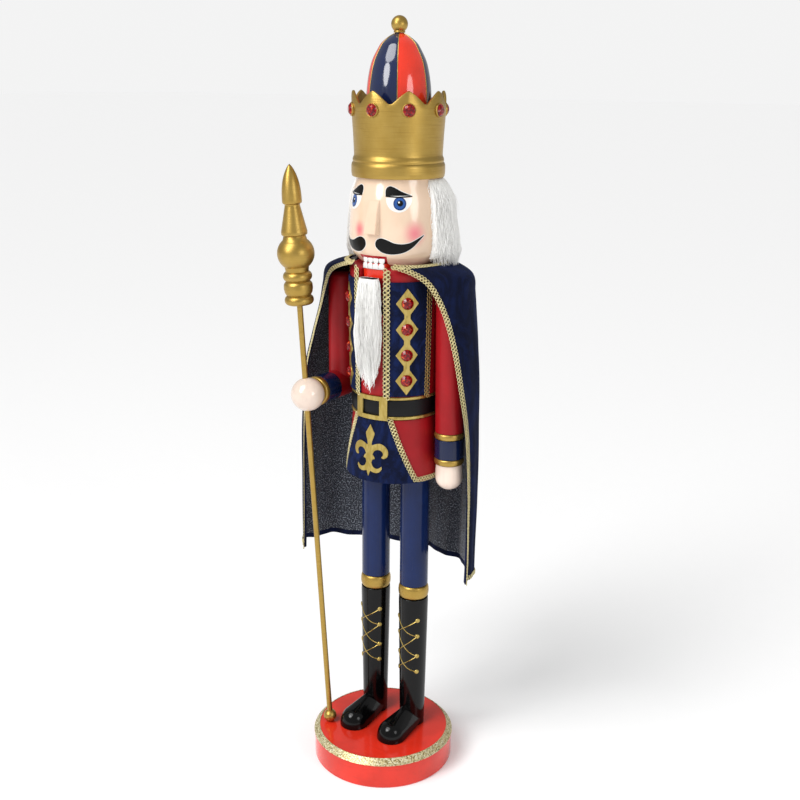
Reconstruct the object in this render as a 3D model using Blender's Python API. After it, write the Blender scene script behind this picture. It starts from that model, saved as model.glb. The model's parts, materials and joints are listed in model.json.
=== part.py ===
"""A standing wooden king nutcracker with a cape and a sceptre.

The figure faces -Y. The origin is the centre of the round base's underside, +Z is up, and all sizes are metres.
Everything above the base is built around the body's own axis, which stands BODY_SET_BACK behind the base's centre.
Pieces that touch keep GAP between them.
"""

from math import acos, asin, atan2, cos, pi, radians, sin, sqrt

import bmesh
import bpy
from mathutils import Matrix, Vector

# --- driving dimensions ----------------------------------------------------------------------------------------

GAP = 0.0003  # clearance between two pieces that touch
PANEL_LIFT = 0.0009  # a wrapped sheet stands this far off the piece under it
WRAP = 0.0012  # thickness of velvet panels, ribbon and other trim that is wrapped round a turned piece

BASE_RADIUS = 0.0889
BASE_HEIGHT = 0.0385
BASE_CHAMFER = 0.0066
BAND_THICKNESS = 0.0008
BODY_SET_BACK = 0.0242

LEG_SPACING = 0.0575
LEG_RADIUS = 0.0178
LEG_TENON_RADIUS = 0.009
LEG_TENON_REACH = 0.018  # how far the tenon goes down into the boot
LEG_SOCKET_DEPTH = 0.030  # how far the leg goes up into the skirt
BOOT_HEIGHT = 0.180
BOOT_FOOT_RADIUS = 0.0158
BOOT_TOP_RADIUS = 0.0187
BOOT_RING_HEIGHT = 0.0171
BOOT_RING_RADIUS = 0.0194
TROUSER_HEIGHT = 0.1478
TOE_RADIUS = 0.0185
TOE_HEIGHT = 0.0183
TOE_REACH = 0.049  # leg axis to the centre of the toe's dome
INSTEP_HEIGHT = 0.029
SCREW_RADIUS = 0.0022
SCREW_HEAD_RADIUS = 0.0048
SCREW_LENGTH = 0.055

SKIRT_HEIGHT = 0.0776
SKIRT_TOP_RADIUS = 0.0524
SKIRT_HEM_RADIUS = 0.0584
BELT_HEIGHT = 0.0287
BELT_TRIM_HEIGHT = 0.0044
BELT_RADIUS = 0.0538
BELT_THICKNESS = 0.0017
BUCKLE_HALF_WIDTH = 0.0200
BUCKLE_WINDOW_HALF = 0.0115

TORSO_HEIGHT = 0.1790  # waist to the top of the shoulders
TORSO_WAIST_RADIUS = 0.0536
TORSO_CHEST_RADIUS = 0.0556
TORSO_TENON_RADIUS = 0.015
TORSO_TENON_LENGTH = 0.014
VEST_FRONT_ANGLE = radians(17)
VEST_SIDE_ANGLE = radians(78)
VEST_FOOT = 0.0295  # above the waist
VEST_TOP_DROP = 0.0145  # below the shoulders
DIAMOND_ANGLE = radians(45)
DIAMOND_COUNT = 4
DIAMOND_PITCH = 0.0304
DIAMOND_HALF_WIDTH = 0.0128
DIAMOND_NECK_HALF = 0.0030
DIAMOND_TIP_REACH = 0.0186  # centre of an end diamond to its point
DIAMOND_FIRST = 0.0491  # waist to the lowest diamond's centre
VEST_GEM_RADIUS = 0.0065
VEST_GEM_HEIGHT = 0.0036

ARM_RADIUS = 0.0169
ARM_TOP_DROP = 0.017  # below the shoulders
ARM_SKIRT_CLEARANCE = 0.0016  # the straight arm leans out until its lower cuff ring clears the skirt by this
ARM_SWING = 0.0055  # the bent arm hangs this far in front of the body's axis
BENT_ARM_STAND_OFF = 0.0030
CUFF_RADIUS = 0.0174
CUFF_LENGTH = 0.0235
CUFF_RING_LENGTH = 0.0080
CUFF_RING_RADIUS = 0.0182
CUFF_TENON_RADIUS = 0.0125
SLEEVE_LENGTH_LEFT = 0.178  # arm's top to the upper cuff ring
HAND_LENGTH = 0.0335
HAND_RADIUS = 0.0165
HAND_BALL_RADIUS = 0.0203
ELBOW_RISE = 0.0225  # forearm axis above the belt's foot
FOREARM_REACH = 0.0716  # bent arm's axis to the centre of the hand
SHOULDER_DOWEL_RADIUS = 0.004
SHOULDER_DOWEL_DROP = 0.0425  # below the shoulders

HEAD_HEIGHT = 0.0993  # shoulders to the crown's lower edge
HEAD_RADIUS = 0.0566
HEAD_TOP_RADIUS = 0.0478
HEAD_TENON_HEIGHT = 0.0055
HEAD_DOWEL_RADIUS = 0.004
HEAD_DOWEL_X = 0.031
HEAD_DOWEL_Y = 0.012
HEAD_DOWEL_REACH = 0.016
NOSE_FOOT = 0.0393  # above the shoulders
NOSE_HEIGHT = 0.0370
NOSE_HALF_WIDTH = 0.0080
NOSE_REACH = 0.0088
HAIR_FRONT_ANGLE = radians(77)
HAIR_FOOT = 0.0075  # above the shoulders
HAIR_PUFF_TOP = 0.0068  # how far the fur stands out under the crown
HAIR_PUFF = 0.0100  # how much further it stands out at its tips

CROWN_RADIUS = 0.0539
CROWN_WAIST_RADIUS = 0.0508
CROWN_WALL = 0.0035
CROWN_POINTS = 8
CROWN_VALLEY = 0.0810  # valley between two points, above the crown's lower edge
CROWN_POINT = 0.0950
CROWN_FLOOR = 0.0610
CROWN_GEM_RADIUS = 0.0076
CROWN_GEM_THICKNESS = 0.0034
CROWN_GEM_HEIGHT = 0.0745
CAP_RADIUS = 0.0368
CAP_HEIGHT = 0.0953
FINIAL_RADIUS = 0.0094

LEVER_WIDTH = 0.0300
SLOT_CLEARANCE = 0.0005
PIVOT_DROP = 0.028  # below the shoulders
PIVOT_Y = 0.002
PIN_RADIUS = 0.0022
JAW_RISE = 0.0050  # how far the jaw stands into the head
JAW_DEPTH = 0.0450
JAW_FRONT = 0.0505
JAW_OPENING = radians(12)
TAIL_THICKNESS = 0.0080
TAIL_LENGTH = 0.067

SCEPTRE_FOOT_X = -0.0588
SCEPTRE_FOOT_Y = -0.0613
SCEPTRE_FOOT_RADIUS = 0.0085
SCEPTRE_ROD_RADIUS = 0.0034
SCEPTRE_LENGTH = 0.7080  # centre of the foot ball to the tip
SCEPTRE_HEAD_LENGTH = 0.1615
SCEPTRE_BULB_RADIUS = 0.0217
HAND_OFFSET = 0.0020  # the rod passes this far outside the middle of the fist

CAPE_LENGTH = 0.385
CAPE_THICKNESS = 0.0024
CAPE_CORNER_ANGLE = radians(27)

# --- heights that follow from them -----------------------------------------------------------------------------

BASE_TOP = BASE_HEIGHT
BOOT_TOP = BASE_TOP + BOOT_HEIGHT
RING_TOP = BOOT_TOP + BOOT_RING_HEIGHT
HEM_Z = RING_TOP + TROUSER_HEIGHT
WAIST_Z = HEM_Z + SKIRT_HEIGHT
BELT_TOP = WAIST_Z + BELT_HEIGHT
SHOULDER_Z = WAIST_Z + TORSO_HEIGHT
CROWN_Z = SHOULDER_Z + HEAD_HEIGHT
CAP_Z = CROWN_Z + CROWN_FLOOR
CAP_TOP = CAP_Z + CAP_HEIGHT
PIVOT_Z = SHOULDER_Z - PIVOT_DROP
ELBOW_Z = WAIST_Z + ELBOW_RISE
ARM_TOP = SHOULDER_Z - ARM_TOP_DROP
ARM_X_LEFT = TORSO_CHEST_RADIUS + ARM_RADIUS + 2 * GAP
ARM_X_RIGHT = -(ARM_X_LEFT + BENT_ARM_STAND_OFF)
SHOULDER_DOWEL_Z = SHOULDER_Z - SHOULDER_DOWEL_DROP
CUFF_STACK_LEFT = CUFF_RING_LENGTH * 2 + CUFF_LENGTH

# --- materials -------------------------------------------------------------------------------------------------

FINISHES = {  # colour, roughness, metallic
    "red_gloss": ((0.72, 0.04, 0.02), 0.22, 0.0),
    "crimson_satin": ((0.36, 0.01, 0.02), 0.38, 0.0),
    "navy_gloss": ((0.012, 0.03, 0.10), 0.25, 0.0),
    "black_gloss": ((0.008, 0.008, 0.010), 0.15, 0.0),
    "gold_paint": ((0.46, 0.29, 0.06), 0.35, 0.8),
    "glitter": ((0.62, 0.50, 0.24), 0.5, 0.7),
    "flesh_gloss": ((0.86, 0.66, 0.50), 0.25, 0.0),
    "white_fur": ((0.85, 0.84, 0.80), 0.9, 0.0),
    "navy_velvet": ((0.008, 0.016, 0.06), 0.9, 0.0),
    "red_gem": ((0.60, 0.01, 0.02), 0.08, 0.0),
    "bare_wood": ((0.62, 0.42, 0.24), 0.6, 0.0),
    "steel": ((0.55, 0.55, 0.56), 0.35, 1.0),
}


def finish(name):
    """The Principled material of one finish, made the first time it is asked for."""
    found = bpy.data.materials.get(name)
    if found:
        return found
    colour, roughness, metallic = FINISHES[name]
    made = bpy.data.materials.new(name)
    made.use_nodes = True
    shader = made.node_tree.nodes["Principled BSDF"]
    shader.inputs["Base Color"].default_value = (*colour, 1)
    shader.inputs["Roughness"].default_value = roughness
    shader.inputs["Metallic"].default_value = metallic
    return made


# --- building blocks -------------------------------------------------------------------------------------------


def place(name, mesh, look, location=(0, 0, 0), parent=None, rotation=None):
    """Puts a finished bmesh or mesh into the scene as the object of that name."""
    if isinstance(mesh, bmesh.types.BMesh):
        bmesh.ops.recalc_face_normals(mesh, faces=mesh.faces)
        data = bpy.data.meshes.new(name)
        mesh.to_mesh(data)
        mesh.free()
        data.shade_smooth()
        data.set_sharp_from_angle(angle=radians(32))
        data.materials.append(finish(look))
    else:
        data = mesh
    made = bpy.data.objects.new(name, data)
    bpy.context.scene.collection.objects.link(made)
    made.location = location
    if rotation is not None:
        made.rotation_mode = "QUATERNION"
        made.rotation_quaternion = rotation
    made.parent = parent
    return made


def guide(name, parent=None, location=(0, 0, 0)):
    """An empty that pieces hang from: a joint's axis or the middle of a limb."""
    made = bpy.data.objects.new(name, None)
    bpy.context.scene.collection.objects.link(made)
    made.parent = parent
    made.location = location
    return made


def loft(loops, closed=False):
    """A bmesh that bridges equal loops of points in turn. Its two ends are capped unless the row is closed."""
    mesh = bmesh.new()
    rows = [[mesh.verts.new(p) for p in loop] for loop in loops]
    pairs = list(zip(rows, rows[1:] + rows[:1])) if closed else list(zip(rows, rows[1:]))
    for low, high in pairs:
        for i in range(len(low)):
            j = (i + 1) % len(low)
            mesh.faces.new((low[i], low[j], high[j], high[i]))
    if not closed:
        mesh.faces.new(rows[0])
        mesh.faces.new(rows[-1])
    return mesh


def around(radius, z, segments):
    """One circle of points at a height."""
    turns = (2 * pi * i / segments for i in range(segments))
    return [(radius * cos(a), radius * sin(a), z) for a in turns]


def turned(profile, segments=24, closed=False):
    """Turns a profile of (radius, height) points round Z. A closed profile gives a ring."""
    return loft([around(r, z, segments) for r, z in profile], closed)


def ring(inner, outer, low, high, segments=32, crown=0.0):
    """A band with a rounded outside. crown is how far its middle stands out past its edges."""
    steps = 3 if crown else 1
    outside = []
    for i in range(steps + 1):
        t = i / steps
        outside.append((outer - crown * (2 * t - 1) ** 2, low + (high - low) * t))
    return turned([(inner, low), *outside, (inner, high)], segments, closed=True)


def arc(centre, radius, start, end, steps):
    """Points along a circular arc in a plane, angles in degrees."""
    turns = (radians(start + (end - start) * i / steps) for i in range(steps + 1))
    return [(centre[0] + radius * cos(a), centre[1] + radius * sin(a)) for a in turns]


def ball(radius, rings=7, segments=16, low=-1.0, high=1.0):
    """A turned ball. low and high cut it flat, as shares of the radius."""
    first = max(asin(low), -pi / 2 + 0.12)
    last = min(asin(high), pi / 2 - 0.12)
    tilts = [first + (last - first) * i / rings for i in range(rings + 1)]
    return turned([(radius * cos(t), radius * sin(t)) for t in tilts], segments)


def rod(radius, start, end, segments=12):
    """A plain round rod between two points."""
    start, end = Vector(start), Vector(end)
    along = end - start
    mesh = turned([(radius, 0), (radius, along.length)], segments)
    mesh.transform(Matrix.Translation(start) @ along.to_track_quat("Z", "Y").to_matrix().to_4x4())
    return mesh


def block(low, high):
    """A box between two corners."""
    low, high = Vector(low), Vector(high)
    mesh = bmesh.new()
    bmesh.ops.create_cube(mesh, size=1)
    mesh.transform(Matrix.Translation((low + high) / 2) @ Matrix.Diagonal((*(high - low), 1)))
    return mesh


def combine(target, tool_mesh, operation="DIFFERENCE"):
    """Cuts the target with a bmesh, or joins it on. The tool sits in the target's own frame and is not a piece."""
    bmesh.ops.recalc_face_normals(tool_mesh, faces=tool_mesh.faces)
    data = bpy.data.meshes.new(target.name + "_tool")
    tool_mesh.to_mesh(data)
    tool_mesh.free()
    tool = bpy.data.objects.new(data.name, data)
    bpy.context.scene.collection.objects.link(tool)
    tool.parent = target
    tool.hide_render = True
    tool.display_type = "WIRE"
    cut = target.modifiers.new(operation.title(), "BOOLEAN")
    cut.operation = operation
    cut.object = tool


def wrapped(faces, radius_at, lift, thickness, step=0.006, centre=0.0):
    """Flat shapes, wrapped round the body's axis as one sheet.

    faces are polygons of (distance round the front, height) that share their edges, radius_at gives the radius
    of the piece underneath at a height, and centre is the angle the shapes are centred on.
    """
    mesh = bmesh.new()
    for outline in faces:
        mesh.faces.new([mesh.verts.new((s, 0, z)) for s, z in outline])
    bmesh.ops.remove_doubles(mesh, verts=mesh.verts, dist=1e-6)
    reach = max(abs(v.co.x) for v in mesh.verts)
    middle = radius_at(sum(v.co.z for v in mesh.verts) / len(mesh.verts))
    lines = int(reach / step)
    for i in range(-lines, lines + 1):
        everything = mesh.verts[:] + mesh.edges[:] + mesh.faces[:]
        bmesh.ops.bisect_plane(mesh, geom=everything, plane_co=(i * step, 0, 0), plane_no=(1, 0, 0), dist=1e-6)
    grown = bmesh.ops.extrude_face_region(mesh, geom=mesh.faces[:])
    for v in grown["geom"]:
        if isinstance(v, bmesh.types.BMVert):
            v.co.y = thickness
    for v in mesh.verts:
        angle = centre + v.co.x / middle
        radius = radius_at(v.co.z) + lift + v.co.y
        v.co = (radius * sin(angle), -radius * cos(angle), v.co.z)
    return mesh


# --- the base --------------------------------------------------------------------------------------------------


def build_base():
    """The turned disc, and the glitter ribbon stuck on its chamfer."""
    shoulder = BASE_RADIUS - BASE_CHAMFER
    disc = place(
        "base_disc",
        turned([(BASE_RADIUS, 0), (BASE_RADIUS, BASE_HEIGHT - BASE_CHAMFER), (shoulder, BASE_HEIGHT)], 40),
        "red_gloss",
    )
    for side in (-1, 1):
        x, y = side * LEG_SPACING / 2, BODY_SET_BACK
        head_depth = SCREW_HEAD_RADIUS + GAP
        combine(disc, rod(SCREW_RADIUS + GAP, (x, y, -0.01), (x, y, BASE_HEIGHT + 0.01), 12))
        combine(disc, rod(SCREW_HEAD_RADIUS + GAP, (x, y, -0.01), (x, y, head_depth), 12))
    off = GAP * sqrt(2)
    thick = BAND_THICKNESS * sqrt(2)
    low, high = BASE_HEIGHT - BASE_CHAMFER, BASE_HEIGHT
    profile = [(BASE_RADIUS + off, low), (BASE_RADIUS + off + thick, low)]
    profile += [(shoulder + off + thick, high), (shoulder + off, high)]
    place("glitter_band", turned(profile, 40, closed=True), "glitter")


# --- legs and boots --------------------------------------------------------------------------------------------


def build_leg(side, axis):
    """One leg: screw, boot, ring, toe and trouser leg. side is 1 for the figure's left."""
    tag = "left" if side > 0 else "right"
    x = side * LEG_SPACING / 2
    seat = BASE_TOP + GAP
    boot = place(
        f"boot_shaft_{tag}",
        turned([(BOOT_FOOT_RADIUS, 0), (BOOT_TOP_RADIUS, BOOT_HEIGHT - GAP)], 20),
        "black_gloss",
        (x, 0, seat),
        axis,
    )
    top = BOOT_TOP - seat
    combine(boot, rod(LEG_TENON_RADIUS + GAP, (0, 0, top - LEG_TENON_REACH - GAP), (0, 0, top + 0.01), 16))
    screw_top = SCREW_HEAD_RADIUS + SCREW_LENGTH
    combine(boot, rod(SCREW_RADIUS + GAP, (0, 0, -0.01), (0, 0, screw_top - seat + 0.002), 12))

    shank = [(SCREW_HEAD_RADIUS, 0), (SCREW_RADIUS, SCREW_HEAD_RADIUS), (SCREW_RADIUS, screw_top)]
    place(f"leg_screw_{tag}", turned([*shank, (0.0004, screw_top + 0.001)], 12), "steel", (x, 0, 0.0004), axis)

    build_toe(tag, x, seat, axis)

    bore = LEG_TENON_RADIUS + GAP
    bulge = ring(bore, BOOT_RING_RADIUS, 0, BOOT_RING_HEIGHT - GAP, 20, crown=0.0016)
    place(f"boot_ring_{tag}", bulge, "gold_paint", (x, 0, BOOT_TOP + GAP), axis)

    foot = -(BOOT_RING_HEIGHT + LEG_TENON_REACH)
    leg = [(LEG_TENON_RADIUS, foot), (LEG_TENON_RADIUS, 0), (LEG_RADIUS, 0)]
    leg.append((LEG_RADIUS, TROUSER_HEIGHT + LEG_SOCKET_DEPTH - 2 * GAP))
    place(f"trouser_leg_{tag}", turned(leg, 20), "navy_gloss", (x, 0, RING_TOP + GAP), axis)


def build_toe(tag, x, seat, axis):
    """The boot's toe: a dome drawn up to the shaft with a flat cheek each side of a ridge."""
    mesh = bmesh.new()
    for i in range(18):
        turn = 2 * pi * i / 18
        for share in (0.0, 0.3, 0.6, 0.82, 0.95):
            reach = TOE_RADIUS * sqrt(1 - share**2)
            spot = (reach * cos(turn), -TOE_REACH + reach * sin(turn), TOE_HEIGHT * share)
            mesh.verts.new(spot)
    ridge_y = -BOOT_FOOT_RADIUS
    mesh.verts.new((0, ridge_y, INSTEP_HEIGHT))
    mesh.verts.new((0, 0, INSTEP_HEIGHT * 0.92))
    for cheek in (-1, 1):
        mesh.verts.new((cheek * BOOT_FOOT_RADIUS, 0, 0))
        mesh.verts.new((cheek * BOOT_FOOT_RADIUS * 0.94, 0, INSTEP_HEIGHT * 0.3))
    hull = bmesh.ops.convex_hull(mesh, input=mesh.verts)
    spare = {v for v in hull["geom_interior"] + hull["geom_unused"] if isinstance(v, bmesh.types.BMVert)}
    bmesh.ops.delete(mesh, geom=list(spare), context="VERTS")
    bmesh.ops.dissolve_limit(mesh, angle_limit=radians(2), verts=mesh.verts, edges=mesh.edges)
    toe = place(f"boot_toe_{tag}", mesh, "black_gloss", (x, 0, seat), axis)
    flare = (BOOT_TOP_RADIUS - BOOT_FOOT_RADIUS) / BOOT_HEIGHT
    depth = -0.01
    room = [(BOOT_FOOT_RADIUS + GAP + flare * z, z) for z in (depth, INSTEP_HEIGHT + 0.01)]
    combine(toe, turned(room, 20))


# --- skirt, belt and torso -------------------------------------------------------------------------------------


def skirt_radius(z):
    """The flared coat skirt's radius at a height."""
    share = (WAIST_Z - z) / SKIRT_HEIGHT
    return SKIRT_TOP_RADIUS + (SKIRT_HEM_RADIUS - SKIRT_TOP_RADIUS) * share


def torso_radius(z):
    """The torso swells a little from the belt up to the chest."""
    share = min(1.0, (z - BELT_TOP) / (TORSO_HEIGHT * 0.6))
    return TORSO_WAIST_RADIUS + (TORSO_CHEST_RADIUS - TORSO_WAIST_RADIUS) * share


def build_skirt(axis):
    """The coat's skirt, with the velvet panel and the gold lily on its front."""
    tenon = TORSO_TENON_RADIUS + GAP
    top = SKIRT_HEIGHT - GAP
    profile = [(SKIRT_HEM_RADIUS - 0.003, 0), (SKIRT_HEM_RADIUS, 0.002), (SKIRT_TOP_RADIUS, top), (tenon, top)]
    profile.append((tenon, top - TORSO_TENON_LENGTH - GAP))
    skirt = place("coat_skirt", turned(profile, 32), "crimson_satin", (0, 0, HEM_Z), axis)
    for side in (-1, 1):
        x = side * LEG_SPACING / 2
        combine(skirt, rod(LEG_RADIUS + GAP, (x, 0, -0.01), (x, 0, LEG_SOCKET_DEPTH), 20))

    rows = []
    steps = 5
    panel_low, panel_high = HEM_Z + 0.0035, WAIST_Z - 0.0015
    for i in range(steps + 1):
        share = i / steps
        z = panel_low + (panel_high - panel_low) * share
        half = radians(60 - 33 * share**0.85)
        inner = skirt_radius(z) + PANEL_LIFT
        angles = [half * (2 * j / 12 - 1) for j in range(13)]
        outside = [((inner + WRAP) * sin(a), -(inner + WRAP) * cos(a), z) for a in angles]
        inside = [(inner * sin(a), -inner * cos(a), z) for a in reversed(angles)]
        rows.append(outside + inside)
    place("skirt_panel", loft(rows), "navy_velvet", parent=axis)

    emblem_z = HEM_Z + 0.0075
    outline = [(s, emblem_z + z) for s, z in lily_outline()]
    lily = wrapped([outline], skirt_radius, PANEL_LIFT + WRAP + 2 * GAP, 0.0008)
    place("skirt_emblem", lily, "gold_paint", parent=axis)


def lily_outline():
    """The gold lily's outline, from its top point down its left half and up its right. Its foot is at height 0."""
    half = [(0.0, 0.0635)]
    half += [(0.0060 * sin(pi * t) ** 0.8 + 0.0022 * t, 0.0635 - 0.0235 * t) for t in (0.2, 0.4, 0.55, 0.75, 0.92)]
    half += arc((0.0130, 0.0330), 0.0112, 145, -10, 8)
    half += [(0.0205, 0.0255)]
    half += arc((0.0130, 0.0330), 0.0062, -25, 165, 6)
    half += [(0.0034, 0.0275), (0.0062, 0.0265), (0.0062, 0.0225), (0.0034, 0.0215)]
    half += arc((0.0090, 0.0190), 0.0062, 200, 300, 3)
    half += [(0.0165, 0.0165), (0.0200, 0.0175), (0.0180, 0.0115), (0.0120, 0.0080), (0.0052, 0.0095)]
    left = [(-s, z) for s, z in half]
    return [half[0], *left[1:], (0.0, 0.0), *reversed(half[1:])]


def build_belt(axis):
    """The belt, a gold line along each edge of it, and the square buckle."""
    inner = BELT_RADIUS - BELT_THICKNESS
    levels = [
        ("belt_trim_lower", WAIST_Z + GAP, WAIST_Z + BELT_TRIM_HEIGHT, "gold_paint", 0.0004),
        ("belt", WAIST_Z + BELT_TRIM_HEIGHT + GAP, BELT_TOP - BELT_TRIM_HEIGHT - GAP, "black_gloss", 0.0),
        ("belt_trim_upper", BELT_TOP - BELT_TRIM_HEIGHT, BELT_TOP - GAP, "gold_paint", 0.0004),
    ]
    for name, low, high, look, proud in levels:
        place(name, ring(inner, BELT_RADIUS + proud, low, high, 28), look, parent=axis)
    w, v = BUCKLE_HALF_WIDTH, BUCKLE_WINDOW_HALF
    low, high = WAIST_Z, BELT_TOP
    sill, lintel = low + 0.0052, high - 0.0052
    columns = [(-w, -v), (v, w)]
    frame = [[(a, low), (b, low), (b, sill), (a, sill)] for a, b in [(-w, -v), (-v, v), (v, w)]]
    frame += [[(a, sill), (b, sill), (b, lintel), (a, lintel)] for a, b in columns]
    frame += [[(a, lintel), (b, lintel), (b, high), (a, high)] for a, b in [(-w, -v), (-v, v), (v, w)]]
    buckle = wrapped(frame, lambda z: BELT_RADIUS, 0.0004 + 2 * GAP, 0.0014)
    place("belt_buckle", buckle, "gold_paint", parent=axis)


def build_torso(axis):
    """The torso, slotted from front to back for the jaw lever, with holes for the pin and the dowels."""
    waist = BELT_RADIUS - BELT_THICKNESS - GAP
    top = TORSO_HEIGHT - GAP
    profile = [(TORSO_TENON_RADIUS, -TORSO_TENON_LENGTH), (TORSO_TENON_RADIUS, 0), (waist, 0)]
    profile += [(waist, BELT_HEIGHT), (TORSO_WAIST_RADIUS, BELT_HEIGHT), (TORSO_CHEST_RADIUS, TORSO_HEIGHT * 0.76)]
    profile += [(TORSO_CHEST_RADIUS, top - 0.007), (TORSO_CHEST_RADIUS - 0.002, top - 0.002)]
    profile.append((TORSO_CHEST_RADIUS - 0.006, top))
    torso = place("torso", turned(profile, 28), "crimson_satin", (0, 0, WAIST_Z + GAP / 2), axis)
    rise = -(WAIST_Z + GAP / 2)
    half = LEVER_WIDTH / 2 + SLOT_CLEARANCE
    slot_foot = PIVOT_Z - 0.0245 + rise
    combine(torso, block((-half, -0.08, slot_foot), (half, 0.08, TORSO_HEIGHT + 0.02)))
    pin_z = PIVOT_Z + rise
    combine(torso, rod(PIN_RADIUS + GAP, (-0.08, PIVOT_Y, pin_z), (0.08, PIVOT_Y, pin_z), 16))
    dowel_z = SHOULDER_DOWEL_Z + rise
    for side, y in ((-1, -ARM_SWING), (1, 0)):
        start = (side * (TORSO_CHEST_RADIUS - 0.018), y, dowel_z)
        combine(torso, rod(SHOULDER_DOWEL_RADIUS + GAP, start, (side * 0.09, y, dowel_z), 16))
        foot = (side * HEAD_DOWEL_X, HEAD_DOWEL_Y, top - HEAD_DOWEL_REACH - GAP)
        peak = (side * HEAD_DOWEL_X, HEAD_DOWEL_Y, top + 0.01)
        combine(torso, rod(HEAD_DOWEL_RADIUS + GAP, foot, peak, 16))


def build_vest(axis):
    """Two velvet panels on the torso, each with a gold strip of linked diamonds and their gems."""
    low, high = WAIST_Z + VEST_FOOT, SHOULDER_Z - VEST_TOP_DROP
    middle_angle = (VEST_FRONT_ANGLE + VEST_SIDE_ANGLE) / 2
    for side, tag in ((1, "left"), (-1, "right")):
        radius = torso_radius((low + high) / 2)
        reach = (VEST_SIDE_ANGLE - VEST_FRONT_ANGLE) / 2 * radius
        bend = torso_break()
        lower = [(-reach, low), (reach, low), (reach, bend), (-reach, bend)]
        upper = [(-reach, bend), (reach, bend), (reach, high), (-reach, high)]
        panel = wrapped([lower, upper], torso_radius, PANEL_LIFT, WRAP, step=0.0085, centre=side * middle_angle)
        place(f"vest_panel_{tag}", panel, "navy_velvet", parent=axis)
        build_diamonds(side, tag, axis)


def torso_break():
    """The height where the torso stops swelling."""
    return BELT_TOP + TORSO_HEIGHT * 0.6


def build_diamonds(side, tag, axis):
    """A strip of linked diamonds with a cut gem on each."""
    centres = [WAIST_Z + DIAMOND_FIRST + DIAMOND_PITCH * i for i in range(DIAMOND_COUNT)]
    foot, tip = (0, centres[0] - DIAMOND_TIP_REACH), (0, centres[-1] + DIAMOND_TIP_REACH)
    rows = []
    for i, z in enumerate(centres):
        rows.append((DIAMOND_HALF_WIDTH, z))
        if i < DIAMOND_COUNT - 1:
            rows.append((DIAMOND_NECK_HALF, z + DIAMOND_PITCH / 2))
    faces = [[(-a, low), (a, low), (b, high), (-b, high)] for (a, low), (b, high) in zip(rows, rows[1:])]
    faces.append([foot, rows[0], (-rows[0][0], rows[0][1])])
    faces.append([tip, (-rows[-1][0], rows[-1][1]), rows[-1]])
    lift = PANEL_LIFT + WRAP + 2 * GAP
    sheet = wrapped(faces, torso_radius, lift, 0.0008, step=0.0065, centre=side * DIAMOND_ANGLE)
    strip = place(f"diamond_strip_{tag}", sheet, "gold_paint", parent=axis)
    for z in centres:
        gem = turned([(VEST_GEM_RADIUS, 0), (VEST_GEM_RADIUS, 0.0018), (VEST_GEM_RADIUS * 0.62, VEST_GEM_HEIGHT)], 8)
        out = torso_radius(z) + lift + 0.0002
        spin = Matrix.Rotation(side * DIAMOND_ANGLE, 4, "Z")
        lay = Matrix.Rotation(pi / 2, 4, "X")
        gem.transform(Matrix.Translation((0, 0, z)) @ spin @ Matrix.Translation((0, -out, 0)) @ lay)
        combine(strip, gem, "UNION")


# --- arms ------------------------------------------------------------------------------------------------------


def thread_cuff(tag, mouth, along, parent, with_upper_ring):
    """The rings and the cuff, threaded on the arm's tenon from the sleeve's mouth towards the hand."""
    turn = Vector(along).to_track_quat("Z", "Y")
    stack = [(f"cuff_ring_upper_{tag}", CUFF_RING_LENGTH, CUFF_RING_RADIUS, "gold_paint", 0.0007)]
    stack = stack if with_upper_ring else []
    stack += [(f"cuff_{tag}", CUFF_LENGTH, CUFF_RADIUS, "navy_gloss", 0.0)]
    stack += [(f"cuff_ring_lower_{tag}", CUFF_RING_LENGTH, CUFF_RING_RADIUS, "gold_paint", 0.0007)]
    reach = 0.0
    for name, length, radius, look, crown in stack:
        mesh = ring(CUFF_TENON_RADIUS + GAP, radius, GAP, length, 20, crown)
        place(name, mesh, look, Vector(mouth) + reach * Vector(along), parent, turn)
        reach += length


def arm_lean():
    """How far the straight arm leans out so that its cuff clears the flared skirt."""
    drop = SLEEVE_LENGTH_LEFT + CUFF_STACK_LEFT
    beside = skirt_radius(max(HEM_Z, ARM_TOP - drop)) + CUFF_RING_RADIUS + ARM_SKIRT_CLEARANCE
    return max(0.0, atan2(beside - ARM_X_LEFT, drop))


def build_left_arm(axis):
    """The straight arm at the figure's left: sleeve, two gold rings, cuff and mitten hand."""
    arm = guide("arm_left", axis, (ARM_X_LEFT, 0, ARM_TOP))
    arm.rotation_euler = (0, -arm_lean(), 0)
    stack = CUFF_STACK_LEFT
    mouth = -SLEEVE_LENGTH_LEFT
    profile = [(CUFF_TENON_RADIUS, mouth - stack + GAP), (CUFF_TENON_RADIUS, mouth), (ARM_RADIUS, mouth)]
    profile += [(ARM_RADIUS, -0.009), (ARM_RADIUS * 0.86, -0.003), (ARM_RADIUS * 0.5, 0)]
    sleeve = place("sleeve_left", turned(profile, 20), "crimson_satin", parent=arm)
    level = Matrix.Rotation(arm_lean(), 3, "Y")  # the peg stays level where the arm leans
    start, end = (level @ Vector((x, 0, SHOULDER_DOWEL_Z - ARM_TOP)) for x in (-0.03, 0.006))
    combine(sleeve, rod(SHOULDER_DOWEL_RADIUS + GAP, start, end, 16))
    thread_cuff("left", (0, 0, mouth), (0, 0, -1), arm, True)
    palm = [(HAND_RADIUS * 0.93, 0), (HAND_RADIUS, -0.010), (HAND_RADIUS, -HAND_LENGTH + 0.013)]
    palm += [(HAND_RADIUS * sin(t), -HAND_LENGTH + 0.013 - 0.013 * cos(t)) for t in (1.1, 0.7, 0.3)]
    place("hand_left", turned(palm, 20), "flesh_gloss", (0, 0, mouth - stack - GAP), arm)
    build_shoulder_dowel("left", 1, 0, ARM_X_LEFT, axis)


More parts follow.
